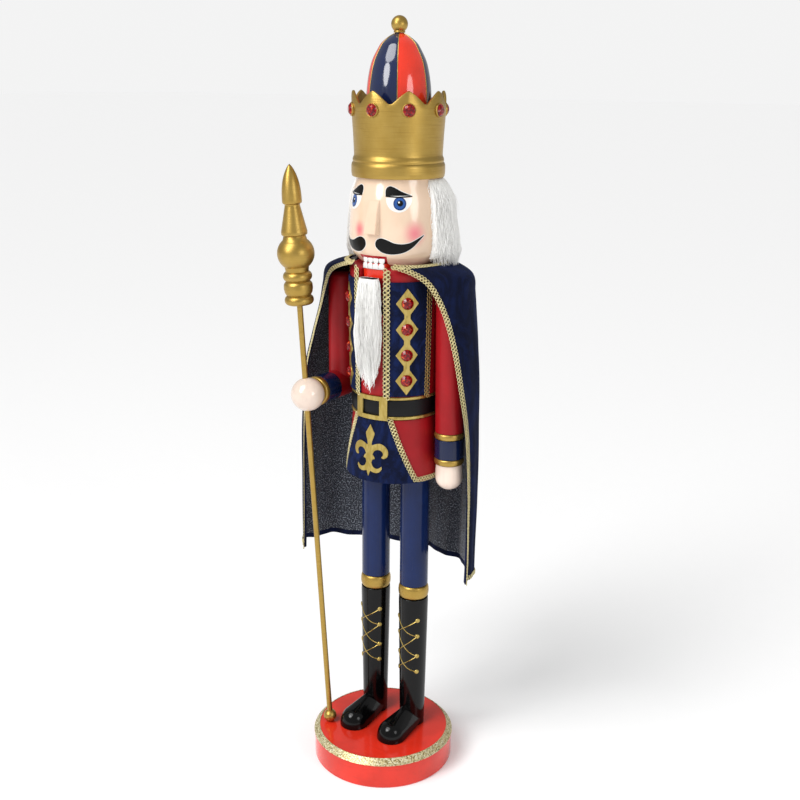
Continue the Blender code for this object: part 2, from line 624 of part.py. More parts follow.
def build_shoulder_dowel(tag, side, y, x, axis):
    """The peg that holds an arm to the torso."""
    start = (side * (TORSO_CHEST_RADIUS - 0.0175), y, SHOULDER_DOWEL_Z)
    end = (x + side * 0.0055, y, SHOULDER_DOWEL_Z)
    place(f"shoulder_dowel_{tag}", rod(SHOULDER_DOWEL_RADIUS, start, end, 16), "bare_wood", parent=axis)


def mitred(radius, length, far, slope, segments=20):
    """A rod from its mitred elbow at the origin, out along +Z. slope is the mitre's, and far its end profile."""
    first = [(x, y, slope * y + GAP) for x, y, _ in around(radius, 0, segments)]
    rest = [around(r, z, segments) for r, z in [(radius, length), *far]]
    return loft([first, *rest])


def build_right_arm(axis, line_start, line_end):
    """The bent arm at the figure's right: two mitred sleeves, cuff, ring and the bored ball of its fist."""
    x, y = ARM_X_RIGHT, -ARM_SWING
    height = ARM_TOP - ELBOW_Z
    far = [(ARM_RADIUS * 0.86, height - 0.003), (ARM_RADIUS * 0.5, height)]
    mesh = mitred(ARM_RADIUS, height - 0.009, far, -1)
    upper = place("upper_sleeve_right", mesh, "crimson_satin", (x, y, ELBOW_Z), axis)
    dowel_z = SHOULDER_DOWEL_Z - ELBOW_Z
    combine(upper, rod(SHOULDER_DOWEL_RADIUS + GAP, (-0.006, 0, dowel_z), (0.03, 0, dowel_z), 16))
    build_shoulder_dowel("right", -1, y, x, axis)

    hand = hand_centre()
    stack = CUFF_LENGTH + CUFF_RING_LENGTH
    wrist = FOREARM_REACH - sqrt(HAND_BALL_RADIUS**2 - CUFF_TENON_RADIUS**2) + 0.001
    sleeve_end = wrist - stack
    tenon = [(CUFF_TENON_RADIUS, sleeve_end), (CUFF_TENON_RADIUS, wrist - GAP)]
    fore = mitred(ARM_RADIUS, sleeve_end, tenon, 1)
    fore.transform(Matrix.Rotation(pi / 2, 4, "X"))
    place("forearm_sleeve_right", fore, "crimson_satin", (x, y, ELBOW_Z), axis)
    thread_cuff("right", (x, y - sleeve_end, ELBOW_Z), (0, -1, 0), axis, False)

    fist = ball(HAND_BALL_RADIUS, 9, 18, low=-wrist_share(), high=1.0)
    fist.transform(Matrix.Rotation(pi / 2, 4, "X"))
    hand_object = place("hand_right", fist, "flesh_gloss", hand, axis)
    bore = rod(SCEPTRE_ROD_RADIUS + GAP, line_start - hand, line_end - hand, 16)
    combine(hand_object, bore)


def wrist_share():
    """Where the fist is cut flat to meet the cuff, as a share of its radius."""
    return sqrt(HAND_BALL_RADIUS**2 - CUFF_TENON_RADIUS**2) / HAND_BALL_RADIUS - 0.06


def hand_centre():
    """The middle of the fist, in the body's frame."""
    return Vector((ARM_X_RIGHT, -ARM_SWING - FOREARM_REACH, ELBOW_Z))


# --- head, crown and cap ---------------------------------------------------------------------------------------


def head_profile():
    """The head's outline from its flat foot up to the seat inside the crown, heights above the shoulders."""
    top = HEAD_HEIGHT
    chin = [(HEAD_RADIUS * 0.66, GAP), (HEAD_RADIUS * 0.76, 0.0026), (HEAD_RADIUS * 0.864, 0.0082)]
    cheek = [(HEAD_RADIUS * 0.937, 0.0133), (HEAD_RADIUS * 0.985, 0.022), (HEAD_RADIUS, 0.034)]
    brow = [(HEAD_RADIUS * 0.994, 0.046), (HEAD_RADIUS * 0.965, 0.064), (HEAD_RADIUS * 0.92, 0.079)]
    return chin + cheek + brow + [(HEAD_TOP_RADIUS, top - 0.002), (HEAD_TOP_RADIUS, top + HEAD_TENON_HEIGHT)]


def head_radius(rise):
    """The head's radius at a height above the shoulders."""
    outline = head_profile()
    for (r0, z0), (r1, z1) in zip(outline, outline[1:]):
        if z0 <= rise <= z1:
            return r0 + (r1 - r0) * (rise - z0) / (z1 - z0)
    return outline[-1][0]


def build_head(axis):
    """The head with its mouth slot, the nose and the hair."""
    head = place("head", turned(head_profile(), 30), "flesh_gloss", (0, 0, SHOULDER_Z), axis)
    half = LEVER_WIDTH / 2 + SLOT_CLEARANCE
    roof = JAW_RISE + GAP
    combine(head, block((-half, -0.09, -0.01), (half, PIVOT_Y - 0.008, roof)))
    for side, tag in ((1, "left"), (-1, "right")):
        foot = (side * HEAD_DOWEL_X, HEAD_DOWEL_Y, -HEAD_DOWEL_REACH)
        peak = (side * HEAD_DOWEL_X, HEAD_DOWEL_Y, HEAD_DOWEL_REACH)
        room = (peak[0], peak[1], peak[2] + GAP)
        combine(head, rod(HEAD_DOWEL_RADIUS + GAP, (foot[0], foot[1], -0.01), room, 16))
        peg = rod(HEAD_DOWEL_RADIUS, foot, peak, 16)
        place(f"head_dowel_{tag}", peg, "bare_wood", (0, 0, SHOULDER_Z), axis)
    build_nose(axis)
    build_hair(axis)


def build_nose(axis):
    """A wedge that grows downwards, rounded along its ridge, glued to the face."""
    loops = []
    for share in (0.0, 0.06, 0.35, 0.65, 0.9, 1.0):
        rise = NOSE_FOOT + NOSE_HEIGHT * share
        skin = head_radius(rise) + 2 * GAP
        grown = 1 - share
        half = NOSE_HALF_WIDTH * (0.62 + 0.38 * grown)
        reach = skin + 0.0012 + NOSE_REACH * grown**0.85 * (0.93 if share == 0 else 1)
        loop = [(s * half, -sqrt(skin**2 - (s * half) ** 2)) for s in (-1, -0.5, 0, 0.5, 1)]
        tip = half * 0.42
        loop += [(tip, -reach + tip * 0.6), (tip * 0.5, -reach), (-tip * 0.5, -reach), (-tip, -reach + tip * 0.6)]
        loops.append([(px, py, rise) for px, py in loop])
    place("nose", loft(loops), "flesh_gloss", (0, 0, SHOULDER_Z), axis)


def build_hair(axis):
    """The fur that runs round the sides and back of the head, as one solid of its outer shape."""
    top = HEAD_HEIGHT - 2 * GAP
    rises = [HAIR_FOOT, *(z for _, z in head_profile() if HAIR_FOOT < z < top), top]
    inside = [(head_radius(z) + 2 * GAP, z) for z in rises]
    outside = [(head_radius(z) + HAIR_PUFF_TOP + HAIR_PUFF * (1 - z / top) ** 0.6, z) for z in rises]
    section = outside + list(reversed(inside))
    loops = []
    steps = 14
    for i in range(steps + 1):
        angle = HAIR_FRONT_ANGLE + (2 * pi - 2 * HAIR_FRONT_ANGLE) * i / steps
        loops.append([(r * sin(angle), -r * cos(angle), z) for r, z in section])
    place("hair", loft(loops), "white_fur", (0, 0, SHOULDER_Z), axis)


def crown_outside():
    """The crown's outer profile from its lower edge to where the points begin."""
    lip = CROWN_RADIUS
    waist = CROWN_WAIST_RADIUS
    band = [(lip, 0), (lip, 0.0154), (lip - 0.0022, 0.0172)]
    bead = [(lip - 0.0010, 0.0190), (waist, 0.0222)]
    return band + bead + [(waist + 0.0022, CROWN_GEM_HEIGHT - 0.008)]


def build_crown(axis):
    """The turned crown with its points cut all round, the gored cap inside it and the ball on top."""
    columns = CROWN_POINTS * 4
    rows = []
    seat = HEAD_TOP_RADIUS + GAP
    rows.append(around(seat, HEAD_TENON_HEIGHT + GAP, columns))
    rows.append(around(seat, 0, columns))
    rows += [around(r, z, columns) for r, z in crown_outside()]
    rim = CROWN_WAIST_RADIUS + 0.0026
    tops = [crown_top(i / 4) for i in range(columns)]
    turns = [2 * pi * i / columns - pi / 2 for i in range(columns)]
    rows = [[spin_to_front(p) for p in row] for row in rows]
    rows.append([(rim * cos(a), rim * sin(a), z - 0.0006) for a, z in zip(turns, tops)])
    rows.append([((rim - 0.001) * cos(a), (rim - 0.001) * sin(a), z) for a, z in zip(turns, tops)])
    inner = rim - CROWN_WALL
    rows.append([(inner * cos(a), inner * sin(a), z - 0.0004) for a, z in zip(turns, tops)])
    rows.append([(inner * cos(a), inner * sin(a), CROWN_FLOOR) for a in turns])
    place("crown", loft(rows), "gold_paint", (0, 0, CROWN_Z), axis)

    gem = turned(
        [
            (CROWN_GEM_RADIUS, 0),
            (CROWN_GEM_RADIUS, 0.0012),
            (CROWN_GEM_RADIUS * 0.86, 0.0016),
            (CROWN_GEM_RADIUS * 0.5, CROWN_GEM_THICKNESS),
        ],
        8,
    )
    shared = None
    out = CROWN_WAIST_RADIUS + 0.0026 + 2 * GAP
    for i in range(CROWN_POINTS):
        angle = 2 * pi * i / CROWN_POINTS
        lay = Matrix.Rotation(angle, 4, "Z") @ Matrix.Rotation(pi / 2, 4, "X")
        spot = (out * sin(angle), -out * cos(angle), CROWN_Z + CROWN_GEM_HEIGHT)
        made = place(f"crown_gem_{i + 1}", shared or gem, "red_gem", spot, axis, lay.to_quaternion())
        shared = made.data

    dome = [(CAP_RADIUS * 0.985, 0), (CAP_RADIUS, 0.016)]
    dome += [(CAP_RADIUS * cos(t), 0.026 + (CAP_HEIGHT - 0.026) * sin(t)) for t in dome_angles()]
    place("crown_cap", turned(dome, 24), "navy_gloss", (0, 0, CAP_Z + GAP), axis)

    knob = ball(FINIAL_RADIUS, low=-0.95)
    place("finial_ball", knob, "gold_paint", (0, 0, CAP_TOP + 0.95 * FINIAL_RADIUS + 2 * GAP), axis)


def dome_angles():
    """Even steps of slope up the cap's dome, stopping at the flat its ball sits on."""
    last = acos(0.12)
    return [last * i / 8 for i in range(9)]


def crown_top(turns_of_point):
    """The height of the crown's edge, where one point spans one whole turn of the argument."""
    away = abs((turns_of_point + 0.5) % 1 - 0.5) * 2
    return CROWN_POINT - (CROWN_POINT - CROWN_VALLEY) * min(1.0, away * 1.12) ** 1.25


def spin_to_front(point):
    """Turns a point a quarter turn, so that a circle starts at the front."""
    x, y, z = point
    return (y, -x, z)


# --- jaw lever -------------------------------------------------------------------------------------------------


def lever_outline():
    """The lever seen from the side, as (y, z) from its pin: jaw block at the front, handle down the back."""
    front = -JAW_FRONT - PIVOT_Y
    jaw_top = PIVOT_DROP + JAW_RISE
    back = TORSO_CHEST_RADIUS + 0.003 - PIVOT_Y
    outline = [(front, jaw_top - JAW_DEPTH), (front, jaw_top), (front + 0.036, jaw_top), (-0.004, 0.018)]
    outline += arc((0, 0), 0.0105, 75, 20, 3)
    outline += [(back - 0.004, 0.004), (back + 0.004, 0.002)]
    outline += [(back + TAIL_THICKNESS, -0.004), (back + TAIL_THICKNESS, -TAIL_LENGTH + 0.004)]
    outline += [(back + TAIL_THICKNESS - 0.004, -TAIL_LENGTH), (back + 0.002, -TAIL_LENGTH), (back, -TAIL_LENGTH + 0.003)]
    outline += [(back, -0.012), (back - 0.004, -0.010)]
    outline += arc((0, 0), 0.0115, -40, -120, 3)
    return outline


def build_lever(axis):
    """The jaw lever, its pin, and the beard as one plain solid. The lever and beard turn with the pivot."""
    pivot = guide("jaw_pivot", axis, (0, PIVOT_Y, PIVOT_Z))
    half = LEVER_WIDTH / 2
    sides = [[(x, y, z) for y, z in lever_outline()] for x in (-half, half)]
    lever = place("jaw_lever", loft(sides), "red_gloss", parent=pivot)
    combine(lever, rod(PIN_RADIUS + GAP, (-half - 0.01, 0, 0), (half + 0.01, 0, 0), 16))

    reach = TORSO_CHEST_RADIUS - 0.0012
    pin = rod(PIN_RADIUS, (-reach, PIVOT_Y, PIVOT_Z), (reach, PIVOT_Y, PIVOT_Z), 16)
    place("lever_pin", pin, "steel", parent=axis)

    jaw_face = -JAW_FRONT - PIVOT_Y - GAP
    chest = -TORSO_CHEST_RADIUS - 3 * GAP - PIVOT_Y
    stations = [  # height from the pin, half width, back face, how thick
        (0.0170, 0.0138, jaw_face, 0.007),
        (-0.010, 0.0148, jaw_face, 0.013),
        (-0.0255, 0.0148, chest - 0.0008, 0.0105),
        (-0.0600, 0.0140, chest - 0.0006, 0.0095),
        (-0.0950, 0.0110, chest, 0.0065),
        (-0.1160, 0.0045, chest, 0.0022),
    ]
    loops = []
    for z, width, back, thick in stations:
        row = [(-width, back), (0, back), (width, back), (width, back - thick * 0.55)]
        row += [(width * 0.55, back - thick), (-width * 0.55, back - thick), (-width, back - thick * 0.55)]
        loops.append([(x, y, z) for x, y in row])
    place("beard", loft(loops), "white_fur", parent=pivot)


# --- sceptre ---------------------------------------------------------------------------------------------------


def sceptre_ends():
    """The centre of the foot ball and a point up the rod by the fist, in the body's frame."""
    foot = Vector((SCEPTRE_FOOT_X, SCEPTRE_FOOT_Y, BASE_TOP + SCEPTRE_FOOT_RADIUS + GAP))
    grip = hand_centre() + Vector((-HAND_OFFSET, 0, 0))
    return foot, grip


def sceptre_head_profile():
    """The turned head, from its foot up to the tip, as (radius, height)."""
    bulb = SCEPTRE_BULB_RADIUS
    neck = bulb * 0.69
    rings = [(bulb * 0.30, 0), (neck, 0.0006)]
    rings += arc((neck, 0.0055), 0.0050, -70, 70, 2)
    rings += [(neck - 0.0006, 0.0118), (neck + 0.0024, 0.0155), (neck + 0.0020, 0.0225), (neck - 0.0012, 0.0262)]
    rings += arc((neck - 0.0006, 0.0320), 0.0046, -70, 70, 2)
    low, high = 0.0385, 0.0802
    middle = low + (high - low) * 0.48
    rings += [(bulb * cos(t), middle + 0.0232 * sin(t)) for t in (-0.85, -0.42, 0.0, 0.42, 0.85)]
    rings += [(bulb * 0.63, high), (bulb * 0.705, high + 0.0030), (bulb * 0.66, high + 0.0058)]
    rings += [(bulb * 0.405, 0.1140), (bulb * 0.40, 0.1160), (bulb * 0.515, 0.1185)]
    bullet = SCEPTRE_HEAD_LENGTH - 0.1185
    shares = (0.15, 0.45, 0.68, 0.86, 1.0)
    rings += [(bulb * (0.518 * (1 - s**2.4) + 0.02), 0.1185 + bullet * s) for s in shares]
    return rings


def build_sceptre(axis, foot, grip):
    """The sceptre stands on the base and slides up through the fist."""
    line = guide("sceptre_line", axis, foot)
    line.rotation_mode = "QUATERNION"
    line.rotation_quaternion = (grip - foot).to_track_quat("Z", "Y")

    tenon = SCEPTRE_ROD_RADIUS
    ball_bore = 0.004
    rest = ball(SCEPTRE_FOOT_RADIUS)
    foot_ball = place("sceptre_foot", rest, "gold_paint", parent=line)
    combine(foot_ball, rod(tenon + GAP, (0, 0, ball_bore), (0, 0, 0.02), 16))
    head_foot = SCEPTRE_LENGTH - SCEPTRE_HEAD_LENGTH
    shaft = rod(tenon, (0, 0, ball_bore + GAP), (0, 0, head_foot + 0.012), 16)
    place("sceptre_rod", shaft, "gold_paint", parent=line)
    head = place("sceptre_head", turned(sceptre_head_profile(), 16), "gold_paint", (0, 0, head_foot), line)
    combine(head, rod(tenon + GAP, (0, 0, -0.01), (0, 0, 0.012 + GAP), 16))


# --- cape ------------------------------------------------------------------------------------------------------


def cape_stations():
    """The cape's sections from the neck to the hem.

    Each is (drop below the shoulders, half width left, half width right, depth behind, depth in front, how far
    forward the left and the right front edge reach, as shares of the depth in front). Widths are outside the
    arms, depths outside the torso.
    """
    neck = TORSO_CHEST_RADIUS + 0.0014
    left = ARM_X_LEFT + ARM_RADIUS
    right = -ARM_X_RIGHT + ARM_RADIUS
    back = TORSO_CHEST_RADIUS
    front = TORSO_CHEST_RADIUS - 0.0006
    full = front + 0.005
    corner = cos(CAPE_CORNER_ANGLE)
    length = CAPE_LENGTH
    return [
        (-0.0032, neck, neck, neck, neck, corner, corner),
        (0.0020, left - 0.014, right - 0.014, back + 0.0125, front, 0.818, 0.818),
        (0.0110, left + 0.002, right + 0.003, back + 0.0215, front - 0.001, 0.741, 0.741),
        (0.0300, left + 0.006, right + 0.008, back + 0.0270, front - 0.002, 0.623, 0.642),
        (0.0560, left + 0.009, right + 0.013, back + 0.0305, front - 0.002, 0.509, 0.547),
        (0.0950, left + 0.014, right + 0.025, back + 0.0325, front, 0.400, 0.455),
        (length * 0.364, left + 0.018, right + 0.037, back + 0.0310, full, 0.300, 0.417),
        (length * 0.519, left + 0.017, right + 0.043, back + 0.0260, full, 0.167, 0.417),
        (length * 0.701, left + 0.015, right + 0.045, back + 0.0210, full, 0.100, 0.417),
        (length, left + 0.010, right + 0.047, back + 0.0120, full, 0.083, 0.417),
    ]


def build_cape(axis):
    """One thin shell that lies on the shoulders and hangs round the back, open down the front."""
    steps = 18
    loops = []
    for drop, left, right, back, front, near, far in cape_stations():
        start, end = -asin(near), pi + asin(far)
        turns = [start + (end - start) * i / steps for i in range(steps + 1)]
        outside = [cape_point(t, left, right, back, front, 0) for t in turns]
        inside = [cape_point(t, left, right, back, front, CAPE_THICKNESS) for t in reversed(turns)]
        shelf = 0.0022 if drop < 0.005 else 0
        z = SHOULDER_Z - drop
        loops.append([(x, y, z) for x, y in outside] + [(x, y, z - shelf) for x, y in inside])
    place("cape", loft(loops), "navy_velvet", parent=axis)


def cape_point(turn, left, right, back, front, inset):
    """A point on a cape section: an ellipse whose four quarters have their own reaches."""
    wide = left if cos(turn) > 0 else right
    deep = back if sin(turn) > 0 else front
    return ((wide - inset) * cos(turn), (deep - inset) * sin(turn))


# --- all of it -------------------------------------------------------------------------------------------------


def main():
    """Builds every piece."""
    for old in list(bpy.data.objects):
        bpy.data.objects.remove(old, do_unlink=True)
    build_base()
    axis = guide("body_axis", location=(0, BODY_SET_BACK, 0))
    for side in (-1, 1):
        build_leg(side, axis)
    build_skirt(axis)
    build_belt(axis)
    build_torso(axis)
    build_vest(axis)
    foot, grip = sceptre_ends()
    reach = (grip - foot).normalized() * 0.05
    build_left_arm(axis)
    build_right_arm(axis, grip - reach, grip + reach)
    build_head(axis)
    build_crown(axis)
    build_lever(axis)
    build_sceptre(axis, foot, grip)
    build_cape(axis)


main()
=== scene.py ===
# %% [markdown]
# # A wooden king nutcracker
# The real figure is turned from wood, painted, dressed in glued-on velvet and braid, and stood on a round base.
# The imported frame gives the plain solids. Every cell below adds one thing the plain solids lack: smooth turned
# surfaces, paint, cloth, braid, fur or stones, and puts it exactly where the frame says.

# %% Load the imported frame
import json
from math import asin, atan2, cos, pi, radians, sin, sqrt

import bmesh
import bpy
from mathutils import Matrix, Vector, noise
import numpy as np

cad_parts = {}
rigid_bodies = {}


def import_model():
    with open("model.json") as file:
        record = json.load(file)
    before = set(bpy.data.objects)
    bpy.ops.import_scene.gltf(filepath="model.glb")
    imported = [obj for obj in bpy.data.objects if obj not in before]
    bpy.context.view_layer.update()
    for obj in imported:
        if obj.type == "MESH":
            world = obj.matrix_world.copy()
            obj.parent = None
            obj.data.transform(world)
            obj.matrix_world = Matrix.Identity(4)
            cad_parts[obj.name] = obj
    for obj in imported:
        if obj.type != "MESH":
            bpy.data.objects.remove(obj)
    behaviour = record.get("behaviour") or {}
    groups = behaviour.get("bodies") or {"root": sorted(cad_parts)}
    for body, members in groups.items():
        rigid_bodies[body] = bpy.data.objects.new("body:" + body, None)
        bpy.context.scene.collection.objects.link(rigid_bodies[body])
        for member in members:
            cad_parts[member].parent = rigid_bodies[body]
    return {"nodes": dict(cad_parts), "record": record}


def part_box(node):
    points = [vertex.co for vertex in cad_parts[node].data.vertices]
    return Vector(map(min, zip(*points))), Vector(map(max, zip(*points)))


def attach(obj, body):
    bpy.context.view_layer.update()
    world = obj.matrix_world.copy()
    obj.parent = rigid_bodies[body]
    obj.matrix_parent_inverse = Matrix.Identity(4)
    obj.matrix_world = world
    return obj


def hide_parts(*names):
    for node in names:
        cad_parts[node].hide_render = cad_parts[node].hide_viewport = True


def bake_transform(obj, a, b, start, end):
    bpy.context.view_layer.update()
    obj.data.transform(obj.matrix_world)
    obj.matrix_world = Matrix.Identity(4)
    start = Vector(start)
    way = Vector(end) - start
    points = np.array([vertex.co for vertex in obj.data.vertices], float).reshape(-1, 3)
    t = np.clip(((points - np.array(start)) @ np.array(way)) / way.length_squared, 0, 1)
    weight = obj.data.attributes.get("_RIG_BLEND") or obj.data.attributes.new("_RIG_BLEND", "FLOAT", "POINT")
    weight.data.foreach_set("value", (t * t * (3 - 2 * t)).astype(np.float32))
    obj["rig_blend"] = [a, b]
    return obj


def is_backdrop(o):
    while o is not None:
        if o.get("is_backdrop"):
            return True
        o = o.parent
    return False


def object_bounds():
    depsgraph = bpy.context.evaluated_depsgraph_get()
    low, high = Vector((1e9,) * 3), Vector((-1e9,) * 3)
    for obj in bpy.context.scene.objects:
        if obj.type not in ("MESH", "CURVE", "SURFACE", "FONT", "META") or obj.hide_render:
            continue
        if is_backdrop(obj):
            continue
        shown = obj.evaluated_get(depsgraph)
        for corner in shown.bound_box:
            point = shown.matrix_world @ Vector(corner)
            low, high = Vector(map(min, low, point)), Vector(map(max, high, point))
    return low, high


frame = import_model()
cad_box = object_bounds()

print("frame box", [round(v, 4) for v in (*cad_box[0], *cad_box[1])])

# %% [markdown]
# ## Where things are
# Positions are read from the frame's boxes wherever a solid gives them. What the solids lack, such as the laces and
# the cape's outline, is given in metres where it is used. The body has one upright axis,
# set back from the centre of the base. Angles go round that axis, 0 at the front and positive towards +X.

# %% Places


def centre(node):
    """The middle of a node's box."""
    low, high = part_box(node)
    return (Vector(low) + Vector(high)) / 2


def low(node, axis=2):
    """A node's lowest coordinate along an axis."""
    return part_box(node)[0][axis]


def high(node, axis=2):
    """A node's highest coordinate along an axis."""
    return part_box(node)[1][axis]


def half(node, axis=0):
    """Half a node's width along an axis."""
    return (high(node, axis) - low(node, axis)) / 2


AXIS = Vector((centre("torso").x, centre("torso").y, 0))
SHOULDER = high("torso")
PIVOT = centre("lever_pin")
CHEST = half("torso")
CROWN_FOOT = low("crown")
SLOT = half("jaw_lever") + 0.0005
print("axis", AXIS[:2], "shoulders", round(SHOULDER, 4), "pin", [round(v, 4) for v in PIVOT])


def spot(angle, radius, z):
    """A point round the body's axis. The angle is in degrees from the front."""
    a = radians(angle)
    return Vector((AXIS.x + radius * sin(a), AXIS.y - radius * cos(a), z))


def outward(angle):
    """The level direction away from the body's axis."""
    a = radians(angle)
    return Vector((sin(a), -cos(a), 0))


# %% [markdown]
# ## Mesh building blocks
# Most of the figure came off a lathe, so most pieces are a profile turned round an axis. Corners of a profile are
# eased into small arcs, because real turned edges catch a thin line of light and a sharp computer edge doesn't.

# %% Lathe


def curve_through(points, per=8, closed=False):
    """Points along a smooth curve that passes through the given ones."""
    given = [Vector(p) for p in points]
    n = len(given)
    made = []
    for i in range(n if closed else n - 1):
        if closed:
            a, b, c, d = (given[(i + k) % n] for k in (-1, 0, 1, 2))
        else:
            a, b, c, d = given[max(i - 1, 0)], given[i], given[i + 1], given[min(i + 2, n - 1)]
        for k in range(per):
            t = k / per
            made.append(
                0.5 * (2 * b + (c - a) * t + (2 * a - 5 * b + 4 * c - d) * t**2 + (3 * b - a - 3 * c + d) * t**3)
            )
    if not closed:
        made.append(given[-1])
    return made


def eased(profile, radius, steps=4):
    """The profile with each of its inner corners turned into a small arc."""
    given = [Vector(p) for p in profile]
    made = [given[0]]
    for a, b, c in zip(given, given[1:], given[2:]):
        r = min(radius, (a - b).length * 0.45, (c - b).length * 0.45)
        p, q = b + (a - b).normalized() * r, b + (c - b).normalized() * r
        for i in range(steps + 1):
            t = i / steps
            made.append((1 - t) ** 2 * p + 2 * t * (1 - t) * b + t**2 * q)
    made.append(given[-1])
    return made


def lathe(profile, segments=96, closed=False, start=(0, 0, 0), along=(0, 0, 1)):
    """Turns (radius, height) points round a line. Open ends are closed with a flat face."""
    profile = [tuple(p) for p in profile]
    if not closed:
        profile = [(0, profile[0][1])] * (profile[0][0] > 1e-6) + profile
        profile += [(0, profile[-1][1])] * (profile[-1][0] > 1e-6)
    turns = [2 * pi * i / segments for i in range(segments)]
    mesh = bmesh.new()
    rows = []
    for r, z in profile:
        spots = [(r * sin(a), -r * cos(a), z) for a in (turns if r > 1e-6 else turns[:1])]
        rows.append([mesh.verts.new(p) for p in spots])
    for below, above in zip(rows, rows[1:] + (rows[:1] if closed else [])):
        for i in range(segments):
            j = (i + 1) % segments
            corners = [below[i % len(below)], below[j % len(below)], above[j % len(above)], above[i % len(above)]]
            corners = list(dict.fromkeys(corners))
            if len(corners) > 2:
                mesh.faces.new(corners)
    turn = Vector((0, 0, 1)).rotation_difference(Vector(along)).to_matrix().to_4x4()
    mesh.transform(Matrix.Translation(start) @ turn)
    return mesh


def bridge(mesh, rows):
    """Joins rings of points in turn and closes the two ends."""
    for a, b in zip(rows, rows[1:]):
        for i in range(len(a)):
            j = (i + 1) % len(a)
            mesh.faces.new((a[i], a[j], b[j], b[i]))
    mesh.faces.new(list(reversed(rows[0])))
    mesh.faces.new(rows[-1])
    return mesh


# %% Keep a finished piece


def plain(name, mesh):
    """The plain mesh of a shape being built, which is then freed."""
    data = bpy.data.meshes.new(name)
    mesh.to_mesh(data)
    mesh.free()
    return data


def linked(name, data):
    """An object that holds the data, put in the scene."""
    made = bpy.data.objects.new(name, data)
    bpy.context.scene.collection.objects.link(made)
    return made


def hold(made, body):
    """Rides a piece on a body, or blends it between two where a pair and two points are given."""
    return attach(made, body) if isinstance(body, str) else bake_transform(
        made, body[0], body[1], start=body[2], end=body[3]
    )


def settle(name, data, body, replaces=(), angle=35):
    """Keeps a finished mesh as a piece that rides on a body."""
    data.name = name
    data.shade_smooth()
    data.set_sharp_from_angle(angle=radians(angle))
    made = linked(name, data)
    if replaces:
        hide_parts(*replaces)
    print(f"{name}: {len(data.polygons)} faces on {body}")
    return hold(made, body)


def keep(name, mesh, body, *looks, replaces=(), slot=None, angle=35):
    """Turns a shape's faces outward, gives it its looks and keeps it."""
    bmesh.ops.recalc_face_normals(mesh, faces=mesh.faces)
    data = plain(name, mesh)
    for look in looks:
        data.materials.append(look)
    return settle(name, data, body, replaces, angle)


def turned(node, profile, look, slot, segments=72, body="figure", **line):
    """Turns a profile on a line and keeps it in place of a plain node."""
    return keep(node + "_turned", lathe(profile, segments, **line), body, look, replaces=[node], slot=slot)


def cut(mesh, *tools):
    """The mesh with the tools' shapes taken out of it."""
    work = linked("work", plain("work", mesh))
    helpers = []
    for tool in tools:
        bmesh.ops.recalc_face_normals(tool, faces=tool.faces)
        helper = linked("tool", plain("tool", tool))
        step = work.modifiers.new("cut", "BOOLEAN")
        step.object, step.solver = helper, "EXACT"
        helpers.append(helper)
    bpy.context.view_layer.update()
    done = bpy.data.meshes.new_from_object(work.evaluated_get(bpy.context.evaluated_depsgraph_get()))
    result = bmesh.new()
    result.from_mesh(done)
    for spare in (work, *helpers):
        shape = spare.data
        bpy.data.objects.remove(spare)
        bpy.data.meshes.remove(shape)
    bpy.data.meshes.remove(done)
    return result


def block(corner, opposite):
    """A plain box between two corners, used to cut with."""
    a, b = Vector(corner), Vector(opposite)
    mesh = bmesh.new()
    bmesh.ops.create_cube(mesh, size=1)
    mesh.transform(Matrix.Translation((a + b) / 2) @ Matrix.Diagonal((*(b - a), 1)))
    return mesh


# %% [markdown]
# ## Shader building blocks
# A procedural material is a sum: a mask times a colour plus a little noise. Written as Python expressions it can be
# read like one. Value wraps one socket, and each operator on it adds a Math node. Look is one material.

# %% Shader values


class Value:
    """A number, colour or vector that flows from one node to the next."""

    def __init__(self, look, node, socket):
        self.look, self.node, self.socket = look, node, socket

    def __getitem__(self, name):
        return Value(self.look, self.node, self.node.outputs[name])

    def math(self, operation, *others):
        return self.look.node("ShaderNodeMath", {"operation": operation}, [self, *others])

    def __add__(self, other):
        return self.math("ADD", other)

    def __sub__(self, other):
        return self.math("SUBTRACT", other)

    def __rsub__(self, other):
        return self.look.node("ShaderNodeMath", {"operation": "SUBTRACT"}, [other, self])

    def __mul__(self, other):
        return self.math("MULTIPLY", other)

    def __truediv__(self, other):
        return self.math("DIVIDE", other)

    __radd__, __rmul__ = __add__, __mul__

    def step(self, start, end):
        """0 up to start, 1 past end, and an eased slope between them."""
        wanted = {"Value": self, "From Min": start, "From Max": end}
        return self.look.node("ShaderNodeMapRange", {"interpolation_type": "SMOOTHSTEP"}, wanted)


